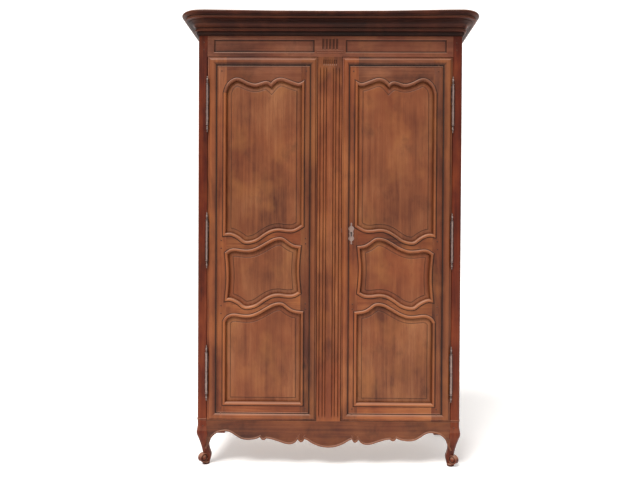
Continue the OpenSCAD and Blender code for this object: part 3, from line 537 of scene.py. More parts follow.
# Darker copy of the frame's tones for the doors' top rails: painted shade from the cornice above
HEAD_SHADED_TONES = srgb(60, 27, 14), srgb(108, 59, 36), srgb(138, 84, 56)
APRON_TONES = srgb(56, 22, 9), srgb(98, 50, 25), srgb(126, 72, 40)
FRIEZE_TONES = srgb(66, 30, 18), srgb(112, 62, 41), srgb(142, 88, 62)
PANEL_TONES = srgb(80, 38, 20), srgb(124, 70, 40), srgb(150, 96, 60)
POST_TONES = srgb(44, 12, 4), srgb(92, 34, 14), srgb(128, 60, 30)
DARK_TONES = srgb(24, 7, 3), srgb(56, 21, 11), srgb(100, 52, 34)
PLAIN_TONES = srgb(86, 60, 40), srgb(136, 104, 74), srgb(168, 138, 106)
PEG_TONES = srgb(40, 16, 8), srgb(74, 36, 20), srgb(104, 60, 36)

IRON = iron_material()
seeds = iter(range(100, 400))


def walnut(name, grain, tones=FRAME_TONES, **more):
    return wood("wood_" + name, grain, *tones, next(seeds), **more)


# ---- doors ----

OPENINGS = {key: [evenly(line, 4.0) for _, line in edges]
            for key, edges in opening_edges().items()}
SIDES = {key: [side for side, _ in edges] for key, edges in opening_edges().items()}

# Section of the bead round a panel: [out from its middle line, height above the frame, shading: grime
# and painted shade where positive, wear and painted highlight where negative]
BEAD = [[13.4, -1.5, 0], [13.4, 0.1, 0.6], [12.4, 0.15, 1.0], [9.8, 0.3, 1.0],
        [9.0, 2.0, 0.2], [8.0, 4.0, -0.1], [6.2, 5.4, -0.4], [3.4, 6.1, -0.6],
        [0.2, 6.1, -0.6], [-2.6, 5.1, -0.4], [-4.6, 3.2, -0.1], [-5.8, 0.6, 0],
        [-6.8, -2.6, 0.05], [-7.4, -6.4, 0.15], [-7.8, -11.2, 0.7], [-0.4, -11.2, 0],
        [-0.4, -1.5, 0]]
# Section of the raised moulding round a door: [part of the way in, height, shading: grime and painted
# shade where positive, wear and painted highlight where negative]
RIM = [[0, -1.5, 0], [0, 0.2, 0.6], [0.025, 2.6, 0.2], [0.07, 4.6, -0.1], [0.14, 5.8, -0.4],
       [0.26, 6.2, -0.4], [0.40, 5.9, -0.3], [0.54, 5.0, -0.1], [0.66, 3.4, 0.1],
       [0.74, 1.4, 0.4], [0.78, 0.2, 1.0], [0.84, 0.15, 1.0], [0.90, 0.15, 1.0],
       [0.925, 1.4, 0.1], [0.955, 1.9, -0.3], [0.98, 1.4, 0.1], [1.0, 0.1, 0.9],
       [1.0, -1.5, 0]]
RIM_START = 6.6
RIM_WIDTH = {"hinge": 47.0, "head": 44.0, "free": 36.0, "foot": 35.0}
# Front of a fielded panel: [in from the bead's middle line, height, shading: grime and painted shade
# where positive, wear and painted highlight where negative]
FIELD = [[-0.6, -18.9, 0.2], [-0.6, -11.3, 0.5], [7.6, -11.2, 0.7], [8.8, -11.1, 0.3],
         [11, -10.3, 0.15], [16, -8.4, 0], [22, -6.9, 0], [28, -6.0, 0.05],
         [31.2, -5.8, 0.6], [32.6, -5.8, 0.8], [33.6, -4.6, 0.3], [34.6, -4.1, -0.2],
         [37, -4.0, 0], [41, -3.9, 0]]


def on_door(u, h, z):
    return (u - DOOR_OUT, FRONT - h, z)


def in_polygon(x, z, outline):
    x0, z0 = outline.T
    x1, z1 = np.roll(x0, -1), np.roll(z0, -1)
    cross = ((z0 > z) != (z1 > z)) & (x < (x1 - x0) * (z - z0) / np.where(z1 == z0, 1, z1 - z0) + x0)
    return cross.sum() % 2 == 1


def cut_outline(rects, holes):
    """The outline of some joined rectangles (u0, z0, u1, z1) with the holes' areas taken out."""
    from mathutils import Vector
    from mathutils.geometry import delaunay_2d_cdt
    loops = [np.array([[a, b], [c, b], [c, d], [a, d]], float) for a, b, c, d in rects] + holes
    points, edges = [], []
    for loop in loops:
        base, count = len(points), len(loop)
        points += [Vector(p) for p in loop]
        edges += [(base + i, base + (i + 1) % count) for i in range(count)]
    points, _, faces, *_ = delaunay_2d_cdt(points, edges, [], 0, 1e-4)
    count = {}
    for face in faces:
        u, z = sum((points[i] for i in face), Vector((0, 0))) / len(face)
        inside = any(a < u < c and b < z < d for a, b, c, d in rects)
        if inside and not any(in_polygon(u, z, h) for h in holes):
            for i, a in enumerate(face):
                b = face[(i + 1) % len(face)]
                count[(a, b)] = count.get((a, b), 0) + 1
    border = {a: b for a, b in count if (b, a) not in count}
    start = min(border, key=lambda i: (points[i][1], points[i][0]))
    outline, at = [], start
    while True:
        outline.append(tuple(points[at]))
        at = border[at]
        if at == start:
            break
    return tidy(outline)


def tidy(outline):
    """The outline without points that lie on a straight line between their neighbours."""
    p = np.array(outline)
    before, after = np.roll(p, 1, 0), np.roll(p, -1, 0)
    a, b = p - before, after - p
    turn = np.abs(a[:, 0] * b[:, 1] - a[:, 1] * b[:, 0])
    return p[turn > 1e-3 * np.linalg.norm(a, axis=1) * np.linalg.norm(b, axis=1) + 1e-9]


def strip(shape, rows_for, section, place):
    """One moulding strip: rows_for[distance] is its line at that distance."""
    count = len(rows_for[section[0][0]])
    rows = [[place(*rows_for[d][i], h) for d, h, _ in section] for i in range(count)]
    shape.loft(rows, [dirt_and_shading for *_, dirt_and_shading in section])


def flat_place(u, z, h):
    return on_door(u, h, z)


def door_members():
    """The shapes of one door's frame members and panels, drawn for the left door."""
    loops = {key: np.concatenate([e[:-1] for e in edges]) for key, edges in OPENINGS.items()}
    holes = list(loops.values())
    middle_z = [(LOWER_RAIL_Z + DOOR_FOOT) / 2, (UPPER_RAIL_Z + LOWER_RAIL_Z) / 2,
                (UPPER_RAIL_Z + DOOR_TOP) / 2]
    bow = 40
    ear_hinge = (STILE_IN - 1, BOW_FOOT_HINGE, STILE_IN + bow, BOW_HEAD_HINGE)
    ear_free = (RAIL_END - bow, BOW_FOOT_FREE, RAIL_END + 1, BOW_HEAD_FREE)
    members = {"hinge_stile": [(0, DOOR_FOOT, STILE_IN, DOOR_TOP), ear_hinge],
               "meeting_stile": [(RAIL_END, DOOR_FOOT, DOOR_W, DOOR_TOP), ear_free]}
    lows = [DOOR_FOOT] + middle_z
    highs = middle_z + [DOOR_TOP]
    names = ["bottom_rail", "lower_cross_rail", "upper_cross_rail", "top_rail"]
    for name, z0, z1 in zip(names, lows, highs):
        members[name] = [(STILE_IN, z0, RAIL_END, z1)]
    ears = [np.array([[a, b], [c, b], [c, d], [a, d]], float)
            for a, b, c, d in (ear_hinge, ear_free)]
    shapes = {}
    for name, rects in members.items():
        cut = holes if "stile" in name else holes + ears
        shape = Shape()
        shape.prism(cut_outline(rects, cut), on_door, -DOOR_T, 0, 0.7)
        shapes[name] = shape
    owners = {("upper", "foot"): "upper_cross_rail", ("upper", "head"): "top_rail",
              ("middle", "foot"): "lower_cross_rail", ("middle", "head"): "upper_cross_rail",
              ("lower", "foot"): "bottom_rail", ("lower", "head"): "lower_cross_rail"}
    for key, edges in OPENINGS.items():
        lines = moved_to(edges, [d for d, *_ in BEAD])
        for i, side in enumerate(SIDES[key]):
            owner = owners.get((key, side)) or ("hinge_stile" if side == "hinge"
                                                else "meeting_stile")
            strip(shapes[owner], {d: lines[d][i] for d in lines}, BEAD, flat_place)
    door_rim(shapes)
    panels = {}
    for key, edges in OPENINGS.items():
        lines = moved_to(edges, [-d for d, *_ in FIELD])
        panel = Shape()
        rows = []
        for d, h, _ in FIELD:
            loop = np.concatenate([e[:-1] for e in lines[-d]])
            rows.append([on_door(u, h, z) for u, z in loop])
        dirt_and_shading = [value for *_, value in FIELD for _ in rows[0]]
        panel.loft(rows)
        panel.dirt_and_shading = dirt_and_shading
        panels[key + "_panel"] = panel
    return shapes, panels


def door_rim(shapes):
    """The raised moulding round the door, mitred at the corners and divided at the joints."""
    def row(side, u=None, z=None):
        """The section's points where the moulding on this side crosses u or z; without them,
        at the corner: start or end is given as the name of the side that it meets."""
        points = []
        for part, h, _ in RIM:
            inset = {k: RIM_START + w * part for k, w in RIM_WIDTH.items()}
            at = {"hinge": inset["hinge"], "free": DOOR_W - inset["free"],
                  "foot": DOOR_FOOT + inset["foot"], "head": DOOR_TOP - inset["head"]}
            points.append(on_door(at.get(u, u) if isinstance(u, str) else at[side] if u is None
                                  else u, h,
                                  at.get(z, z) if isinstance(z, str) else at[side]
                                  if z is None else z))
        return points

    dirt_and_shading = [v for *_, v in RIM]
    # Painted shade: the roll's lower half is darkened more at the head of the door, where it faces down
    dark = [v + 0.45 if 0.5 < part < 0.76 else v for part, _, v in RIM]
    for side, owner in (("hinge", "hinge_stile"), ("free", "meeting_stile")):
        shapes[owner].loft([row(side, z="foot"), row(side, z="head")], dirt_and_shading)
    for side, owner in (("foot", "bottom_rail"), ("head", "top_rail")):
        stops = [row(side, u="hinge"), row(side, u=STILE_IN), row(side, u=RAIL_END),
                 row(side, u="free")]
        for i, name in enumerate(("hinge_stile", owner, "meeting_stile")):
            shapes[name].loft(stops[i:i + 2], dark if side == "head" else dirt_and_shading)


DOOR_GRAIN = {"hinge_stile": "z", "meeting_stile": "z", "top_rail": "x", "bottom_rail": "x",
              "upper_cross_rail": "x", "lower_cross_rail": "x"}


def build_doors():
    shapes, panels = door_members()
    for side in ("left", "right"):
        mirror = side == "right"
        for name, shape in shapes.items():
            knots = {"left_meeting_stile": [(-130, 530, 26)],
                     "right_hinge_stile": [(528, 1915, 24)]}.get(side + "_" + name, ())
            # The top rails get the darker tones: painted shade under the cornice
            tones = HEAD_SHADED_TONES if name == "top_rail" else FRAME_TONES
            material = walnut(side + "_" + name, DOOR_GRAIN[name], tones, knots=knots)
            piece(shape, f"{side}_{name}_shown", side + "_door", [f"{side}_{name}"], material,
                  mirror)
        for name, shape in panels.items():
            material = walnut(side + "_" + name, "z", PANEL_TONES, figure=0.8, dust=0.08)
            piece(shape, f"{side}_{name}_shown", side + "_door", [f"{side}_{name}"], material,
                  mirror)


# ---- hinges ----

HINGE_X = -(DOOR_OUT + 1.5)
HINGE_Y = FRONT - 9
BARREL_R = 7.0
HINGE_HEIGHTS = [495, 1190, 1900]
HALF_H = 147.5
# Finial: [radius, height, shading: grime and painted shade where positive, painted highlight where
# negative]
FINIAL = [[7, 0, 0.4], [8.1, 1, 0], [8.5, 2.6, -0.4], [8.0, 4.4, 0], [6.6, 5.4, 0.6],
          [4.2, 7, 0.8], [3.7, 9, 0.5], [4.0, 11, 0.2], [5.6, 13.5, 0.3], [5.9, 14.6, 0],
          [4.8, 15.8, 0.7], [4.3, 17, 0.5], [5.2, 19.5, 0], [6.2, 22.5, -0.3],
          [6.3, 25, -0.3], [5.4, 28.5, 0], [3.7, 31.5, 0.3], [2.8, 33.5, 0.7],
          [3.1, 35, 0.1], [3.7, 37, -0.2], [3.5, 39.4, -0.2], [2.3, 42, 0], [0.9, 43.6, 0],
          [0.05, 44, 0]]


def barrel_end(up):
    """Sections from the knuckle to the tip of a hinge half: [radius, height, shading: grime and painted
    shade where positive, painted highlight where negative].
    """
    length = HALF_H - 44
    body = [[7, 0.2, 0.8], [7.6, 1.2, 0.1], [7.8, 3, -0.3], [7.5, 5, 0.1], [6.9, 6.2, 0.6],
            [7, 9, 0], [7.1, length * 0.5, -0.15], [6.9, length - 5, 0]]
    return [[r, up * z, v] for r, z, v in body + [[r, length + z, v] for r, z, v in FINIAL]]


def hinge_half(up, inner):
    shape = Shape()
    for z in HINGE_HEIGHTS:
        profile = inner + barrel_end(up)
        around = 24
        rows = turned((HINGE_X, HINGE_Y, z), [[r, h] for r, h, _ in profile], around)
        shape.loft(rows)
        shape.dirt_and_shading[-len(rows) * around:] = [v for *_, v in profile for _ in range(around)]
        side = 1 if up > 0 else -1
        for k in (0, 1):
            a = math.radians(45 * side)
            direction = np.array([math.sin(a), math.cos(a)])
            across_it = np.array([direction[1], -direction[0]]) * 1.2
            near = np.array([HINGE_X, HINGE_Y]) + direction * 5.5
            far = np.array([HINGE_X, HINGE_Y]) + direction * 41
            if k == 0:
                z0, z1 = sorted((z + up * 14, z + up * 98))
                corners = [near - across_it, far - across_it, far + across_it, near + across_it]
                shape.loft([[(x, y, h) for x, y in corners] for h in (z0, z1)])
    return shape


def build_hinges():
    pin = [[0.05, 59.5, 0], [2.6, 59.2, 0], [3.5, 57.5, 0], [3.5, -0.2, 0]]
    bore = [[0.05, 61.5, 0], [3.55, 61.4, 0], [3.55, 0.2, 0.5]]
    for side in ("left", "right"):
        mirror = side == "right"
        piece(hinge_half(-1, pin), side + "_hinge_pins_shown", "case", [side + "_hinge_pins"],
              IRON, mirror)
        piece(hinge_half(1, bore), side + "_hinge_barrels_shown", side + "_door",
              [side + "_hinge_barrels"], IRON, mirror)


# ---- lock, bolts and escutcheon ----

LOCK_Z = 1229.0
LOCK_X = 115.5
KEYHOLE = [[-2.2, -14], [2.2, -14], [2.4, 0.6]] + [
    [4.4 * math.sin(math.radians(a)), 4 - 4.4 * math.cos(math.radians(a))]
    for a in range(45, 316, 30)] + [[-2.4, 0.6]]


def escutcheon():
    """A pierced iron plate with shaped ends and a raised rim round the keyhole."""
    half = [[0, -57.5], [2.6, -54], [4.6, -50], [3.4, -46], [2.6, -42], [6, -38], [11, -34],
            [14.4, -28], [14.2, -22], [11.4, -17], [9.6, -11], [10.4, -5], [12, 0]]
    right = smooth(half + [[x, -z] for x, z in reversed(half[:-1])], 4)
    outline = np.concatenate([right, right[-2:0:-1] * [-1, 1]])
    hole = np.array(KEYHOLE)
    shape = Shape()
    plate = cut_ring(outline, hole)
    def on_plate(a, h, z):
        return LOCK_X + a, FRONT - h, LOCK_Z + z

    shape.prism(plate, on_plate, -0.4, 1.5, 0.4)
    # Painted shade: the dark inside of the keyhole, drawn as a black plate just behind the opening
    before = len(shape.dirt_and_shading)
    shape.prism(hole, on_plate, -0.4, 0.3, 0)
    shape.dirt_and_shading[before:] = [1.0] * (len(shape.dirt_and_shading) - before)
    ridge = [[0.6, 1.2], [1.0, 2.2], [1.8, 2.45], [2.6, 2.1], [3.0, 1.2]]
    edges = [spaced(np.vstack([hole, hole[:1]]), 40)]
    n = normals(edges[0])
    rows = [[(LOCK_X + edges[0][i][0] + n[i][0] * d, FRONT - h, LOCK_Z + edges[0][i][1]
              + n[i][1] * d) for d, h in ridge] for i in range(39)]
    shape.loft(rows, closed=True)
    for z in (-46, 46, -29, 29):
        for x in ((0,) if abs(z) > 40 else (-9, 9)):
            shape.loft([[(LOCK_X + x + r * math.cos(t), FRONT - h, LOCK_Z + z + r * math.sin(t))
                         for t in np.linspace(0, 2 * math.pi, 10, endpoint=False)]
                        for r, h in ((1.6, 1.2), (1.5, 1.9), (1.0, 2.3), (0.05, 2.45))])
    return shape


def cut_ring(outline, hole):
    """One outline that runs round the outside, in along a slit, and round the hole."""
    start = int(np.argmin(np.linalg.norm(outline - hole[0], axis=1)))
    outer = np.roll(outline, -start, 0)
    return np.vstack([outer, outer[:1] + [0.02, 0], hole[::-1][-1:] + [0.02, 0], hole[::-1]])


def build_lock():
    piece(escutcheon(), "escutcheon_shown", "right_door", ["escutcheon"], IRON)
    y0, wall = FRONT + DOOR_T, 2.5
    lo, hi = low("lock_case"), high("lock_case")
    slot_z0, slot_z1 = low("lock_bolt")[2] - 0.5, high("lock_bolt")[2] + 0.5
    case = Shape()
    case.box((lo[0], hi[1] - wall, lo[2]), (hi[0], hi[1] - 1, hi[2]), 0.6)
    case.box((lo[0] + 4, hi[1] - wall + 0.1, lo[2] + 4), (hi[0] - 4, hi[1], hi[2] - 4), 0.6)
    for corner, other in (((lo[0], lo[2]), (hi[0], lo[2] + wall)),
                          ((lo[0], hi[2] - wall), (hi[0], hi[2])),
                          ((hi[0] - wall, lo[2]), (hi[0], hi[2])),
                          ((lo[0], lo[2]), (lo[0] + wall, slot_z0)),
                          ((lo[0], slot_z1), (lo[0] + wall, hi[2]))):
        case.box((corner[0], y0, corner[1]), (other[0], hi[1] - 1.2, other[1]), 0.3)
    for x in (lo[0] + 8, hi[0] - 8):
        for z in (lo[2] + 8, hi[2] - 8):
            dome(case, (x, hi[1] - 0.4, z), 3.2, 1.6)
    piece(case, "lock_case_shown", "right_door", ["lock_case"], IRON)
    lo, hi = low("lock_bolt"), high("lock_bolt")
    bolt = Shape()
    bolt.box(tuple(lo), tuple(hi), 0.8)
    piece(bolt, "lock_bolt_shown", "lock_bolt", ["lock_bolt"], IRON)
    lo, hi = low("lock_keeper"), high("lock_keeper")
    keeper = Shape()
    keeper.box(tuple(lo), tuple(hi), 0.5)
    for z in (lo[2] + 7, hi[2] - 7):
        dome(keeper, (lo[0] + 8, hi[1] - 0.2, z), 2.8, 1.4)
    piece(keeper, "lock_keeper_shown", "case", ["lock_keeper"], IRON)
    for name in ("top_bolt", "bottom_bolt"):
        lo, hi = low(name), high(name)
        mid_x, mid_z = (lo[0] + hi[0]) / 2, (lo[2] + hi[2]) / 2
        slide = Shape()
        slide.box((lo[0], lo[1], lo[2]), (hi[0], lo[1] + 6, hi[2]), 0.9)
        knob = [[0.05, 5.2], [4.6, 5.3], [3.4, 7.5], [2.9, 9.5], [4.4, 11.4], [6.4, 12.8],
                [7.0, 15], [6.2, 17.4], [3.8, 19], [0.05, 19.6]]
        reach = (hi[1] - lo[1]) / 19.6
        slide.loft([[(mid_x + r * math.cos(t), lo[1] + d * reach, mid_z + r * math.sin(t))
                     for t in np.linspace(0, 2 * math.pi, 20, endpoint=False)]
                    for r, d in knob])
        piece(slide, name + "_shown", name, [name], IRON)
    guides = Shape()
    lo, hi = low("bolt_guides"), high("bolt_guides")
    for name in ("top_bolt", "bottom_bolt"):
        a, b = low(name)[2], high(name)[2]
        for z in (a + 32, b - 32):
            guide(guides, lo, hi, z)
    piece(guides, "bolt_guides_shown", "left_door", ["bolt_guides"], IRON)


def dome(shape, centre, r, h):
    """A round-headed nail in a surface that faces the back."""
    x, y, z = centre
    shape.loft([[(x + a * r * math.cos(t), y + b * h, z + a * r * math.sin(t))
                 for t in np.linspace(0, 2 * math.pi, 12, endpoint=False)]
                for a, b in ((1, 0), (0.92, 0.45), (0.6, 0.85), (0.02, 1))])


def guide(shape, lo, hi, z):
    """A bent strap over a slide bolt."""
    outer = [[lo[0], lo[1]], [lo[0], hi[1] - 2], [lo[0] + 2, hi[1]], [hi[0] - 2, hi[1]],
             [hi[0], hi[1] - 2], [hi[0], lo[1]]]
    inner = [[hi[0] - 2.9, lo[1]], [hi[0] - 2.9, hi[1] - 2.9], [lo[0] + 2.9, hi[1] - 2.9],
             [lo[0] + 2.9, lo[1]]]
    rows = [[(x, y, z + dz) for x, y in outer + inner] for dz in (-8, 8)]
    shape.loft(rows)


# ---- pegs ----

def peg(shape, centre, normal, r=4.0, seed=0):
    """The slightly proud, roughly cut end of a wooden peg, and the peg behind it."""
    centre, normal = np.array(centre, float), np.array(normal, float)
    side = np.array([0, 0, 1.0])
    other = np.cross(normal, side)
    turn = (seed * 0.7) % 0.8
    ring = [(math.cos(t + turn), math.sin(t + turn))
            for t in np.linspace(0, 2 * math.pi, 8, endpoint=False)]
    rows = [[centre + normal * h + (side * a + other * b) * r * k for a, b in ring]
            for h, k in ((-6, 1), (0.5, 1), (1.0, 0.9), (1.2, 0.6), (1.25, 0.02))]
    shape.loft(rows, None)
    count = len(ring)
    shape.dirt_and_shading[-5 * count:] = [0.5] * (2 * count) + [0.15] * (3 * count)


def build_pegs():
    pairs = [[(DOOR_TOP - 84, DOOR_TOP - 30)] * 2,
             [(UPPER_RAIL_Z - 58, UPPER_RAIL_Z + 16), (UPPER_RAIL_Z - 26, UPPER_RAIL_Z + 22)],
             [(LOWER_RAIL_Z - 58, LOWER_RAIL_Z + 16), (LOWER_RAIL_Z - 26, LOWER_RAIL_Z + 22)],
             [(DOOR_FOOT + 24, DOOR_FOOT + 74)] * 2]
    for side in ("left", "right"):
        shape = Shape()
        number = 0
        for ends in pairs:
            for u, (z0, z1) in zip((STILE_IN - 26, RAIL_END + 26), ends):
                for part in (0.22, 0.78):
                    z = z0 + (z1 - z0) * part
                    number += 1
                    hidden = side == "right" and u > RAIL_END and abs(z - LOCK_Z) < 30
                    if not hidden:
                        peg(shape, on_door(u, 0.1, z), (0, -1, 0), 3.9, number)
        piece(shape, side + "_door_pegs_shown", side + "_door", [side + "_door_pegs"],
              wood("pegs_" + side, "y", *PEG_TONES, next(seeds)), side == "right")
    shape = Shape()
    number = 0
    rail_z = [(188, 330), (1140, 1240), (FRAME_H - 150, FRAME_H)]
    for sign in (-1, 1):
        for z in (APRON_TOP - 62, APRON_TOP - 30, FRIEZE_Z + 34, FRAME_H - 34):
            number += 1
            peg(shape, (sign * (POST_IN + 18), FRONT, z), (0, -1, 0), 3.9, number)
        for i, (z0, z1) in enumerate(rail_z):
            for y in (FRONT + POST_D - 20, BACK - 49 + 18):
                for z in (z0 + (66 if i == 0 else 32), z1 - 32):
                    number += 1
                    peg(shape, (sign * HALF_W, y, z), (sign, 0, 0), 3.9, number)
    piece(shape, "case_pegs_shown", "case", ["case_pegs"],
          wood("pegs_case", "y", *PEG_TONES, next(seeds)))


# ---- posts, legs and feet ----

# Leg seen from the front: [height, outer edge in from the post's face, inner edge in from it]
LEG = [[246, 0, 49], [232, 0, 49], [215, 0.3, 49.5], [200, -2, 51], [186, -4.6, 53],
       [172, -5, 55], [158, -1.5, 56.5], [148, 2, 57], [134, 6, 56.5], [120, 10, 56],
       [105, 13.6, 56], [90, 17, 57.5], [78, 19.3, 59.8], [66, 21, 63], [58, 24, 65.5],
       [50, 29, 67], [42, 33, 66.5], [30, 35, 64], [18, 35, 61], [10, 34, 59]]
FOOT_CENTRE = np.array([27.0, 27.0])
PAD_CENTRE = np.array([40.0, 40.0])
SCROLL_R = 24.0
SCROLL_Z = 37.0
SCROLL_HALF = 15.0


def corner_section(a0, a1, b0, b1, radii, steps=6):
    """A rectangle with rounded corners: radii at the outer front, inner front, inner back and
    outer back corners. a is measured in from the side face and b in from the front face."""
    corners = [(a0, b0, 180), (a1, b0, 270), (a1, b1, 0), (a0, b1, 90)]
    ring = []
    for (a, b, start), r in zip(corners, radii):
        ca = a + r if a == a0 else a - r
        cb = b + r if b == b0 else b - r
        for k in range(steps + 1):
            t = math.radians(start + 90 * k / steps)
            ring.append((ca + r * math.cos(t), cb + r * math.sin(t)))
    return ring


def leg_place(a, b, z):
    return (-HALF_W + a, FRONT + b, z)


def front_post():
    """A front corner post: straight above, a cabriole leg below with a scrolled foot."""
    shape = Shape()
    top = [leg_place(a, b, FRAME_H) for a, b in corner_section(0, 49, 0, POST_D, (14, 2, 2, 3))]
    rows = [top]
    for z in (2100, 1700, 1300, 900, 500, 256):
        rows.append([leg_place(a, b, z)
                     for a, b in corner_section(0, 49, 0, POST_D, (14, 2, 2, 3))])
    heights, outer, inner = np.array(LEG)[::-1].T
    for z in np.linspace(246, 10, 60):
        o, i = (np.interp(z, heights, side) for side in (outer, inner))
        down = min(max((246 - z) / 130, 0), 1)
        depth = i + (POST_D - 49) * (1 - down) ** 1.5
        soft = 14 + 6 * down
        rows.append([leg_place(a, b, z) for a, b in corner_section(
            o, i, o, depth, (soft, 2 + 6 * down, 2 + 10 * down, 3 + 6 * down))])
    shape.loft(rows)
    collar(shape)
    scroll(shape)
    foot_pad(shape)
    return shape


def collar(shape):
    """A small astragal round the post where the leg begins."""
    for z, r in ((250, 2.6), (243.6, 1.4)):
        path = corner_section(0, 49, 0, POST_D, (14, 2, 2, 3))
        last = len(path) // 2
        path = path[-4:] + path[:last - 2]
        rows = []
        p = np.array(path)
        n = normals(p)
        for (a, b), (na, nb) in zip(p, n):
            rows.append([leg_place(a + na * r * math.cos(t), b + nb * r * math.cos(t),
                                   z + r * math.sin(t))
                         for t in np.linspace(0, 2 * math.pi, 10, endpoint=False)])
        # Painted highlight on the top of the astragal and painted shade on its lower part
        shape.loft(rows, [-0.2 if 1 < k < 5 else 0.3 for k in range(10)])


def scroll(shape):
    """The curled toe: a drum across the leg's diagonal, with a spiral and a boss at each end."""
    axis = np.array([1, -1, 0]) / math.sqrt(2)
    out = np.array([-1, -1, 0]) / math.sqrt(2)
    up = np.array([0, 0, 1.0])
    centre = np.array(leg_place(*FOOT_CENTRE, SCROLL_Z))
    around = 36
    turns = np.linspace(0, 2 * math.pi, around, endpoint=False)

    def ring(along, r):
        return [centre + axis * along + (out * math.cos(t) + up * math.sin(t)) * r
                for t in turns]

    half = SCROLL_HALF
    side = [[half - 5, SCROLL_R - 0.6], [half - 2.4, SCROLL_R - 0.2], [half - 0.6, SCROLL_R - 1.4],
            [half, SCROLL_R - 3.2], [half - 0.4, SCROLL_R - 5], [half - 2.6, SCROLL_R - 6.4],
            [half - 3.0, SCROLL_R - 9.5], [half - 1.2, SCROLL_R - 11.4], [half + 1.2, 8.6],
            [half + 2.6, 6.0], [half + 3.2, 3.0], [half + 3.4, 0.05]]
    profile = [[-a, r] for a, r in reversed(side)] + [[0, SCROLL_R - 1.2]] + side
    # Painted shade in the spiral's grooves and painted highlight on its crests
    dark = {SCROLL_R - 6.4: 0.9, SCROLL_R - 9.5: 0.8, SCROLL_R - 5: 0.2, SCROLL_R - 11.4: 0.4,
            SCROLL_R - 1.4: -0.4, SCROLL_R - 3.2: -0.4, 3.0: -0.4, 6.0: -0.3}
    shape.loft([ring(a, r) for a, r in profile])
    shape.dirt_and_shading[-len(profile) * around:] = [dark.get(r, 0.1) for _, r in profile
                                           for _ in range(around)]


def foot_pad(shape):
    around = 28
    turns = np.linspace(0, 2 * math.pi, around, endpoint=False)
    levels = [[0, 17.5], [1.5, 18.8], [8, 19.4], [11.5, 18.2], [14, 15]]
    rows = [[leg_place(PAD_CENTRE[0] + r * math.cos(t), PAD_CENTRE[1] + r * math.sin(t), z)
             for t in turns] for z, r in levels]
    shape.loft(rows)
    shape.dirt_and_shading[-len(levels) * around:] = [0.6] * (len(levels) * around)


def build_posts():
    shape = front_post()
    for side in ("left", "right"):
        piece(shape, f"front_{side}_post_shown", "case", [f"front_{side}_post"],
              walnut(f"front_{side}_post", "z", POST_TONES, sheen=0.22), side == "right")
        rear = Shape()
        rear.box((-HALF_W, BACK - 49, 0), (-POST_IN, BACK, FRAME_H), 1.6)
        piece(rear, f"back_{side}_post_shown", "case", [f"back_{side}_post"],
              walnut(f"back_{side}_post", "z", POST_TONES), side == "right")


# ---- front rails and centre post ----

def apron():
    """The carved board below the doors, with a rounded bead along its lower edge."""
    half = [smooth(part, 6) for part in APRON_PARTS]
    right = [evenly(line, 3.0) for line in half]
    left = [line[::-1] * [-1, 1] for line in reversed(right)]
    edges = left[:-1] + [evenly(np.vstack([left[-1], right[0][1:]]), 3.0)] + right[1:]
    shape = Shape()
    bead = [[1.0, 6, 0.2], [-0.2, 4.4, 0.1], [-1.2, 1.9, 0.1], [-2.6, 2.6, -0.35],
            [-5.2, 2.9, -0.4], [-7.4, 2.0, 0], [-8.4, 0.5, 0.75], [-9.6, 0.1, 0.8],
            [-9.6, -4, 0], [1.0, -4, 0]]
    # Bead section: [out from the edge, height, shading]: painted highlight on the round, painted shade
    # under it
    bead = [[0.6, -4, 0], [0.8, -1, 0.1], [0.4, 1.2, -0.1], [-1.2, 2.6, -0.35],
            [-3.6, 3.0, -0.4], [-6.0, 2.2, -0.1], [-7.6, 0.9, 0.4], [-8.6, 0.1, 0.9],
            [-9.8, -0.1, 0.6], [-9.8, -4, 0]]
    lines = moved_to(edges, [d for d, *_ in bead], closed=False)
    for i in range(len(edges)):
        strip(shape, {d: lines[d][i] for d in lines}, bead, lambda x, z, h: (x, FRONT - h, z))
    bottom = np.vstack([e[:-1] for e in edges] + [edges[-1][-1:]])
    outline = np.vstack([bottom, [[POST_IN, APRON_TOP], [-POST_IN, APRON_TOP]]])
    shape.prism(outline, lambda a, h, z: (a, FRONT - h, z), -30, 0, 0.8)
    for sign in (-1, 1):
        leaf_carving(shape, sign)
    return shape


def leaf_carving(shape, sign):
    """Three short gouged reeds that fan out above the small drop of the apron."""
    for k, (lean, length) in enumerate(((-0.5, 26), (0, 32), (0.5, 26))):
        base = np.array([141 + 7 * (k - 1), 146.0])
        direction = np.array([math.sin(lean), math.cos(lean)])
        over = np.array([direction[1], -direction[0]])
        rows = []
        for t in np.linspace(0, 1, 9):
            w = 3.6 * math.sin(math.pi * (0.12 + 0.84 * t)) ** 0.6
            mid = base + direction * length * t
            rows.append([(sign * (mid[0] + over[0] * w * math.cos(a)),
                          FRONT - 0.2 - 2.4 * (w / 3.6) * max(math.sin(a), -0.3),
                          mid[1] + over[1] * w * math.cos(a))
                         for a in np.linspace(0, 2 * math.pi, 10, endpoint=False)])
        shape.loft(rows)
        # Painted shade in the gouges and painted highlight on their ridges
        shape.dirt_and_shading[-90:] = ([0.7, 0.1, -0.2, -0.2, 0.1, 0.7, 0.7, 0.7, 0.7, 0.7] * 9)


def groove_profile(half, marks, width, deep, step=1.2):
    """Heights across a board's face with round grooves at the marked places."""
    xs = np.arange(-half, half + step / 2, step)
    h = np.zeros_like(xs)
    for m in marks:
        inside = np.abs(xs - m) < width / 2
        h[inside] = -deep * np.sqrt(1 - ((xs[inside] - m) / (width / 2)) ** 2)
    return xs, h


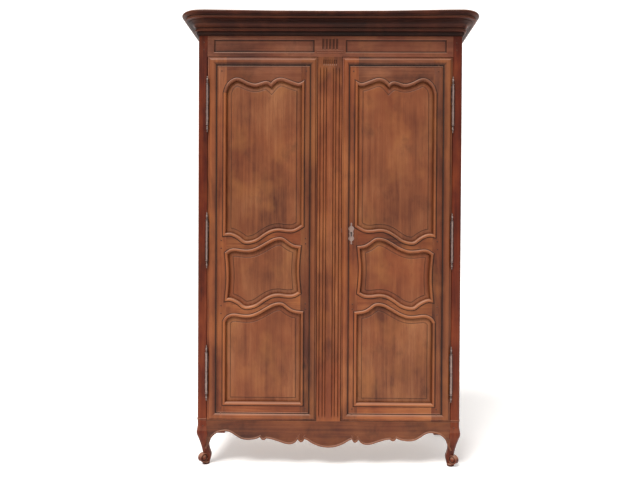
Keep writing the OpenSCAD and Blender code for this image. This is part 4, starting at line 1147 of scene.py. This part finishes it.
def reeded(shape, xs, levels, base, back_h):
    """A board's front lofted through levels [height, relief across the board at that height]."""
    rows = []
    for z, relief in levels:
        front = [(x, FRONT - base - h, z) for x, h in zip(xs, relief)]
        rows.append(front + [(xs[-1], FRONT - back_h, z), (xs[0], FRONT - back_h, z)])
    shape.loft(rows)
    width = len(xs) + 2
    first = len(shape.dirt_and_shading) - len(levels) * width
    for i, (_, relief) in enumerate(levels):
        start = first + i * width
        # Painted shade in the grooves, deeper the darker, and a faint painted highlight on the flats
        # between them
        shape.dirt_and_shading[start:start + len(xs)] = [
            0.6 * min(-h / 3.4, 1) ** 1.3 if h < 0 else -0.05 for h in relief]


def centre_post():
    shape = Shape()
    xs, h = groove_profile(CENTRE_HALF, (-50, -32, -18, 18, 32, 50), 5.0, 3.4)
    swell = np.zeros_like(xs)
    for a, b, rise in ((-47.5, -34.5, 1.2), (-29.5, -20.5, 1.0), (-15.5, 15.5, 1.8),
                       (20.5, 29.5, 1.0), (34.5, 47.5, 1.2)):
        t = (xs - a) / (b - a)
        inside = (t > 0) & (t < 1)
        swell[inside] = rise * np.sqrt(np.sin(math.pi * t[inside]))
    z0, z1 = APRON_TOP + 14, FRIEZE_Z - 52
    reeds = h + swell
    fade = [[APRON_TOP, 0], [z0, 0], [z0 + 4, 0.3], [z0 + 9, 0.7], [z0 + 15, 1]]
    levels = [[z, reeds * d] for z, d in fade]
    levels += [[z, reeds] for z in np.linspace(z0 + 60, z1 - 60, 12)]
    levels += [[z1 + z0 - z, reeds * d] for z, d in reversed(fade[1:])]
    # Seven short gouge cuts at the head of the post
    cuts = groove_profile(CENTRE_HALF, [(i - 3) * 10.8 for i in range(7)], 6.0, 3.4)[1]
    cut_z0, cut_z1 = FRIEZE_Z - 42, FRIEZE_Z - 12
    for t in np.linspace(0, 1, 13):
        levels.append([cut_z0 + (cut_z1 - cut_z0) * t,
                       cuts * min(1, 1.6 * math.sin(math.pi * t)) ** 0.7 if 0 < t < 1
                       else cuts * 0])
    levels.append([FRIEZE_Z, cuts * 0])
    reeded(shape, xs, levels, 0, -33)
    bolt_z0, bolt_z1 = low("lock_bolt")[2] - 3, high("lock_bolt")[2] + 3
    half, notch, z_low, z_high = 76.5, 58.5, APRON_TOP + 16, FRIEZE_Z - 14
    shape.prism([[-half, z_low], [half, z_low], [half, bolt_z0], [notch, bolt_z0],
                 [notch, bolt_z1], [half, bolt_z1], [half, z_high], [-half, z_high]],
                lambda a, h, z: (a, FRONT - h, z), -46.2, -32, 1.0)
    for z_low, z_high in ((APRON_TOP, APRON_TOP + 17), (FRIEZE_Z - 15, FRIEZE_Z)):
        shape.box((-CENTRE_HALF, FRONT + 32, z_low), (CENTRE_HALF, FRONT + 46, z_high), 0.6)
    return shape


def frieze():
    """The rail above the doors: two sunk fields and a fluted block between them."""
    shape = Shape()

    def at(a, h, z):
        return (a, FRONT - h, z)

    shape.prism([[-POST_IN, FRIEZE_Z], [POST_IN, FRIEZE_Z], [POST_IN, FRAME_H],
                 [-POST_IN, FRAME_H]], at, -30.5, -4.6, 0.8)
    hole_a, hole_b = low("top_bolt")[0] - 2, high("top_bolt")[0] + 2
    shape.prism([[-POST_IN, FRIEZE_Z], [hole_a, FRIEZE_Z], [hole_a, FRIEZE_Z + 20],
                 [hole_b, FRIEZE_Z + 20], [hole_b, FRIEZE_Z], [POST_IN, FRIEZE_Z],
                 [POST_IN, FRAME_H], [-POST_IN, FRAME_H]], at, -46, -30, 0.6)
    z0, z1 = FRIEZE_Z + 16, FRAME_H - 12
    field_out, field_in = POST_IN - 28, 76
    for low_z, high_z in ((FRIEZE_Z, z0), (z1, FRAME_H)):
        shape.prism([[-field_out, low_z], [field_out, low_z], [field_out, high_z],
                     [-field_out, high_z]], at, -6, 0, 0)
    # Edge of a sunk field: [in from its outline, height, shading]: painted highlight on the small roll,
    # painted shade at its foot that fades out over the field
    edge = [[-1, -5, 0], [-1, 0.3, 0.2], [1.2, 0.9, -0.35], [3.6, 0.3, -0.1], [5.6, -1.2, 0],
            [7.2, -3.4, 0.5], [8.2, -4.3, 1.0], [9.8, -4.4, 1.0], [13, -4.45, 0.4],
            [18, -4.5, 0], [18, -5, 0]]
    for sign in (-1, 1):
        a, b = sorted((sign * field_out, sign * field_in))
        shape.prism([[sign * field_out, FRIEZE_Z], [sign * POST_IN, FRIEZE_Z],
                     [sign * POST_IN, FRAME_H], [sign * field_out, FRAME_H]], at, -6, 0, 0)
        corners = [[a, z0], [b, z0], [b, z1], [a, z1]]
        edges = [np.array([corners[i], corners[(i + 1) % 4]], float) for i in range(4)]
        edges = [spaced(e, 4) for e in edges]
        lines = moved_to(edges, [-d for d, *_ in edge])
        for i in range(4):
            rows = [[at(lines[-d][i][k][0], h, lines[-d][i][k][1]) for d, h, _ in edge]
                    for k in range(4)]
            shape.loft(rows, [v for *_, v in edge])
    xs, h = groove_profile(77, [i * 18 for i in range(-2, 3)], 11.5, 4.4, 0.9)
    foot = FRIEZE_Z + 38
    rise = [[foot + 5.5 * (1 - math.cos(t)), math.sin(t)] for t in np.linspace(0, math.pi / 2, 6)]
    levels = [[z0 - 1, 0], [foot - 0.5, 0]] + rise + [[z1 - 5, 1]] + [
        [z1 - 5 + 5 * math.sin(t), math.cos(t)] for t in (0.4, 0.8, 1.2)] + [[z1 + 0.5, 0]]
    reeded(shape, xs, [[z, h * d] for z, d in levels], 0.1, -6)
    # Two round beads: painted highlight on their tops, painted shade on the rest
    for z, r in ((FRIEZE_Z + 30, 2.2), (FRIEZE_Z + 19, 1.8)):
        shape.loft([[(x, FRONT - r * math.cos(t), z + r * math.sin(t))
                     for t in np.linspace(0, 2 * math.pi, 10, endpoint=False)]
                    for x in (-70, 70)], [-0.2] * 3 + [0.3] * 7)
    for a, b, deep in ((-POST_IN + 2, hole_a, -32), (hole_a - 1, hole_b + 1, -41.5),
                       (hole_b, POST_IN - 2, -32)):
        shape.prism([[a, FRIEZE_Z - 14], [b, FRIEZE_Z - 14], [b, FRIEZE_Z + 1],
                     [a, FRIEZE_Z + 1]], at, -46, deep, 0.6)
    return shape


def build_front():
    piece(apron(), "apron_rail_shown", "case", ["apron_rail"],
          walnut("apron", "x", APRON_TONES))
    piece(centre_post(), "centre_post_shown", "case", ["centre_post"],
          walnut("centre_post", "z", FRAME_TONES))
    piece(frieze(), "frieze_rail_shown", "case", ["frieze_rail"],
          walnut("frieze", "x", FRIEZE_TONES))


# ---- sides ----

def side_place(depth, h, z):
    """depth is the distance back along the side; h is how far out from the rails' face."""
    return (-(HALF_W - 4) - h, depth, z)


def build_sides():
    y0, y1 = FRONT + POST_D, BACK - 49
    rails = {"bottom": (188, 330), "middle": (1140, 1240), "top": (FRAME_H - 150, FRAME_H)}
    panels = {"lower": (330, 1140), "upper": (1240, FRAME_H - 150)}
    # Small ovolo: [out from the rail's edge, height, shading]: painted highlight on the round, painted
    # shade where it steps down
    ovolo = [[-2, -4, 0], [-2, 0.1, 0.3], [0.5, 1.0, -0.3], [3, 0.8, -0.2], [6, -1.4, 0],
             [8, -4.6, 0.5], [9, -6.4, 0.9], [9, -9.5, 0.6], [-2, -9.5, 0]]
    for side in ("left", "right"):
        mirror = side == "right"
        for name, (z0, z1) in rails.items():
            shape = Shape()
            if name == "bottom":
                arch = [[y0, 152], [y0 + 20, 152]]
                middle, half = (y0 + y1) / 2, (y1 - y0) / 2 - 20
                radius = (half * half + 46 * 46) / 92
                for t in np.linspace(-1, 1, 41)[1:-1]:
                    a = t * math.asin(half / radius)
                    arch.append([middle + radius * math.sin(a),
                                 198 - radius + radius * math.cos(a)])
                outline = arch + [[y1 - 20, 152], [y1, 152], [y1, z1], [y0, z1]]
            else:
                outline = [[y0, z0], [y1, z0], [y1, z1], [y0, z1]]
            shape.prism(outline, side_place, -26, 0, 0.8)
            if name != "top":
                side_moulding(shape, ovolo, y0, y1, z1, True)
            if name != "bottom":
                side_moulding(shape, ovolo, y0, y1, z0, False)
            piece(shape, f"{side}_side_{name}_rail_shown", "case", [f"{side}_side_{name}_rail"],
                  walnut(f"{side}_side_{name}_rail", "y", FRAME_TONES), mirror)
        for name, (z0, z1) in panels.items():
            shape = Shape()
            rows = []
            for d, h, _ in ((-1, -17, 0), (-1, -9, 0), (9, -9, 0), (14, -8.6, 0), (32, -5.2, 0),
                            (33.5, -3.4, 0), (36, -3.2, 0)):
                rows.append([side_place(y, h, z) for y, z in
                             ((y0 + d, z0 + d), (y1 - d, z0 + d), (y1 - d, z1 - d),
                              (y0 + d, z1 - d))])
            shape.loft(rows)
            # Painted shade in the sunk border round the field, and a faint painted highlight on the
            # field's edge
            shape.dirt_and_shading = [v for v in (0, 0.7, 0.7, 0.1, 0.1, -0.1, 0) for _ in range(4)]
            piece(shape, f"{side}_side_{name}_panel_shown", "case",
                  [f"{side}_side_{name}_panel"],
                  walnut(f"{side}_side_{name}_panel", "z", PANEL_TONES), mirror)


def side_moulding(shape, section, y0, y1, z, above):
    """The small moulding along a rail beside a side panel."""
    sign = 1 if above else -1
    shape.loft([[side_place(y, h, z + sign * d) for d, h, _ in section] for y in (y0, y1)],
               [v for *_, v in section])


# ---- back and inside ----

def plain(name, grain):
    return wood("plain_" + name, grain, *PLAIN_TONES, next(seeds), wax=0.62)


def boards_like(node, shape, edge=0.8):
    """Boards where the CAD node has them: one block for each loose part of its mesh."""
    mesh = bmesh.new()
    mesh.from_mesh(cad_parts[node].data)
    bmesh.ops.remove_doubles(mesh, verts=mesh.verts, dist=1e-6)
    left = set(mesh.verts)
    while left:
        stack = [left.pop()]
        part = set(stack)
        while stack:
            for e in stack.pop().link_edges:
                for v in e.verts:
                    if v in left:
                        left.remove(v)
                        part.add(v)
                        stack.append(v)
        co = np.array([v.co for v in part]) / MM
        shape.box(tuple(co.min(0)), tuple(co.max(0)), edge)
    mesh.free()
    return shape


def build_back():
    parts = {"back_boards": ("z", None), "top_boards": ("x", None), "shelf_cleats": ("x", None)}
    for node, (grain, _) in parts.items():
        piece(boards_like(node, Shape()), node + "_shown", "case", [node], plain(node, grain))
    y0, y1 = BACK - 24, BACK
    spans = {"back_top_rail": ((-POST_IN, y0, FRAME_H - 110), (POST_IN, y1, FRAME_H), "x"),
             "back_bottom_rail": ((-POST_IN, y0, 196), (POST_IN, y1, 300), "x"),
             "back_muntin": ((-35, y0, 300), (35, y1, FRAME_H - 110), "z")}
    for node, (corner, other, grain) in spans.items():
        shape = Shape()
        shape.box(corner, other, 1.0)
        piece(shape, node + "_shown", "case", [node], plain(node, grain))
    face = HALF_W - 30.0
    shape = Shape()
    for z in (640, 1090, 1560, 1960):
        for k in range(2):
            ya = FRONT + 62
            yb = BACK - 25
            mid = (ya + yb) / 2
            a, b = ((ya, mid - 0.5), (mid + 0.5, yb))[k]
            notched(shape, face - 1, a, b, z, z + 20)
    piece(shape, "shelves_shown", "case", ["shelves"], plain("shelves", "x"))
    shape = Shape()
    ya, yb = FRONT + 32, BACK - 25
    for k in range(4):
        pitch = (yb - ya + 1) / 4
        hole = [low("bottom_bolt")[0] - 2, high("bottom_bolt")[0] + 2, FRONT + 41]
        notched(shape, face - 1, ya + k * pitch, ya + (k + 1) * pitch - 1, APRON_TOP,
                APRON_TOP + 16, hole if k == 0 else None)
    piece(shape, "floor_boards_shown", "case", ["floor_boards"], plain("floor", "x"))


def notched(shape, half, y0, y1, z0, z1, hole=None):
    """A board across the inside, cut round the corner posts where it meets them. hole is a
    notch in the front edge: from x, to x, back to y."""
    front_y, back_y = FRONT + POST_D + 1, BACK - 50
    inner = POST_IN - 1
    left_edge = [[-half, y0], [-half, y1]]
    if y0 < front_y:
        left_edge = [[-inner, y0], [-inner, min(front_y, y1)], [-half, min(front_y, y1)],
                     [-half, y1]]
    if y1 > back_y:
        left_edge = left_edge[:-1] + [[-half, back_y], [-inner, back_y], [-inner, y1]]
    outline = left_edge + [[-x, y] for x, y in reversed(left_edge)]
    if hole:
        a, b, deep = hole
        outline += [[b, y0], [b, deep], [a, deep], [a, y0]]
    shape.prism(outline, lambda a, h, b: (a, b, h), z0, z1, 0.7)


# ---- cornice ----

def arc(centre, r, a0, a1, n):
    return [[centre[0] + r * math.cos(math.radians(a0 + (a1 - a0) * i / n)),
             centre[1] + r * math.sin(math.radians(a0 + (a1 - a0) * i / n))]
            for i in range(n + 1)]


def cornice_profile():
    """[distance out from the case, height above the frame, shading: grime and painted shade where
    positive, painted highlight where negative]
    """
    parts = [([[5, 0], [5.5, 6], [8.5, 9.5], [10, 13], [10, 21]], 0.7),
             (arc((12.5, 28), 7.2, -75, 75, 8), -0.3), ([[15, 37], [15.6, 39.5]], 0.5),
             (arc((52, 35), 34, 170, 142, 6), -0.2),
             (arc((52, 35), 34, 137, 103, 7), 0.5), ([[46.5, 71.5]], 0.8),
             ([[49.5, 72], [54, 73.6]], 0.2), (arc((58, 79), 5.2, -70, 62, 8), -0.6),
             ([[58.5, 85.8]], 0.8), (arc((71, 84), 10.5, 160, 112, 5), 0.1),
             (arc((65.2, 102), 9.8, -48, 90, 12), -0.2)]
    return [[x * CORNICE_OUT / 75, z, dirt_and_shading] for points, dirt_and_shading in parts for x, z in points]


CORNICE_SAG = [[-776, 5], [-640, 2], [-480, 4], [-300, 7], [0, 8], [300, 7], [460, 4],
               [600, 1], [776, 0]]


def cornice_path():
    """Points (x, y) of the line the profile follows, the way out from it, and how far out from it the
    case's face lies.
    """
    corner_in = 18.0
    cx, cy = HALF_W - corner_in, FRONT + corner_in
    path = [((-cx, y), (-1, 0), corner_in) for y in np.linspace(BACK, cy, 12)[:-1]]
    for t in np.linspace(180, 270, 17):
        a = math.radians(t)
        path.append(((-cx, cy), (math.cos(a), math.sin(a)), corner_in))
    path += [((x, cy), (0, -1), corner_in) for x in np.linspace(-cx, cx, 50)[1:-1]]
    for t in np.linspace(270, 360, 17):
        a = math.radians(t)
        path.append(((cx, cy), (math.cos(a), math.sin(a)), corner_in))
    path += [((cx, y), (1, 0), corner_in) for y in np.linspace(cy, BACK, 12)[1:]]
    return path


def build_cornice():
    profile = cornice_profile()
    path = cornice_path()
    lap = -16.0
    section = [[lap, 0, 0]] + profile + [[lap, 112, 0]]
    place_x, sag = np.array(CORNICE_SAG).T
    rows = []
    for (x, y), (nx, ny), base in path:
        row = []
        for out, up, _ in section:
            px, py = x + nx * (base + out), y + ny * (base + out)
            drop = np.interp(px, place_x, sag) * (up / 112) ** 2
            row.append((px, py, FRAME_H + up - drop))
        rows.append(row)
    turn_a, turn_b = 11 + 8, len(path) - 1 - (11 + 8)
    spans = {"cornice_left_return": (0, turn_a), "cornice_front": (turn_a, turn_b),
             "cornice_right_return": (turn_b, len(path) - 1)}
    for node, (a, b) in spans.items():
        shape = Shape()
        shape.loft(rows[a:b + 1], [v for *_, v in section])
        grain = "x" if node == "cornice_front" else "y"
        piece(shape, node + "_shown", "case", [node],
              walnut(node, grain, DARK_TONES, wax=0.42, sheen=0.18, dust=0.30), sharp=30)


# ---- floor, light and camera ----

def plain_surface(name, colour):
    material, tree, shader = new_material(name)
    n = Nodes(tree)
    place = n.node("ShaderNodeTexCoord").outputs["Object"]
    cloud = n.noise(place, 1.3, 3, 0.5)
    n.link(n.ramp(cloud, (0.3, tuple(c * 0.97 for c in colour)), (0.7, colour)),
           shader.inputs["Base Color"])
    shader.inputs["Roughness"].default_value = 0.85
    shader.inputs["Emission Color"].default_value = (1, 0.99, 0.985, 1)
    shader.inputs["Emission Strength"].default_value = 0.32
    return material


def build_stage():
    """A pale floor that curves up into a backdrop."""
    depth, wide, tall, bend = 4.0, 9.0, 7.0, 1.5
    profile = [(-5.5, 0.0), (depth - bend, 0.0)]
    profile += [(depth - bend + bend * math.sin(t), bend - bend * math.cos(t))
                for t in np.linspace(0.15, math.pi / 2, 10)]
    profile += [(depth, tall)]
    verts = [(x, y, z) for x in (-wide, wide) for y, z in profile]
    count = len(profile)
    faces = [[i, i + 1, count + i + 1, count + i] for i in range(count - 1)]
    mesh = bpy.data.meshes.new("backdrop")
    mesh.from_pydata(verts, [], faces)
    mesh.shade_smooth()
    mesh.materials.append(plain_surface("backdrop_paper", (0.86, 0.85, 0.84)))
    backdrop = bpy.data.objects.new("backdrop", mesh)
    bpy.context.scene.collection.objects.link(backdrop)


def sun_light(name, toward, energy, spread, colour=(1, 1, 1)):
    from mathutils import Vector
    data = bpy.data.lights.new(name, "SUN")
    data.energy = energy
    data.angle = math.radians(spread)
    data.color = colour
    light = bpy.data.objects.new(name, data)
    light.rotation_euler = Vector(toward).to_track_quat("-Z", "Y").to_euler()
    light.location = (0, -3, 4)
    bpy.context.scene.collection.objects.link(light)


def build_light():
    """A broad skylight from the upper left, and a weak one from low in front."""
    sun_light("sky", (0.42, 0.66, -1.12), 3.1, 24, (1.0, 0.985, 0.96))
    sun_light("front", (-0.35, 1.0, -0.12), 0.45, 60, (1.0, 0.97, 0.93))
    world = bpy.data.worlds.new("studio")
    world.use_nodes = True
    background = world.node_tree.nodes["Background"]
    background.inputs["Color"].default_value = (1, 1, 1, 1)
    background.inputs["Strength"].default_value = 0.30
    bpy.context.scene.world = world


def build_camera():
    """In front of the doors, almost square on, a little above the middle of the armoire."""
    from mathutils import Euler, Matrix
    data = bpy.data.cameras.new("camera")
    data.sensor_width = 36
    data.lens = 33.13
    data.shift_x = -0.0143
    data.shift_y = -0.0006
    camera = bpy.data.objects.new("camera", data)
    turn = Euler((math.radians(90 - 0.58), 0, math.radians(0.595))).to_matrix()
    turn = (turn @ Matrix.Rotation(math.radians(0.318), 3, "Z")).to_4x4()
    turn.translation = (0.032, FRONT * MM - 3.083, 1.228)
    camera.matrix_world = turn
    bpy.context.scene.collection.objects.link(camera)
    bpy.context.scene.camera = camera
    bpy.context.scene.view_settings.view_transform = "Standard"


build_doors()
build_hinges()
build_lock()
build_pegs()
build_posts()
build_front()
build_sides()
build_back()
build_cornice()
build_stage()
build_light()
build_camera()
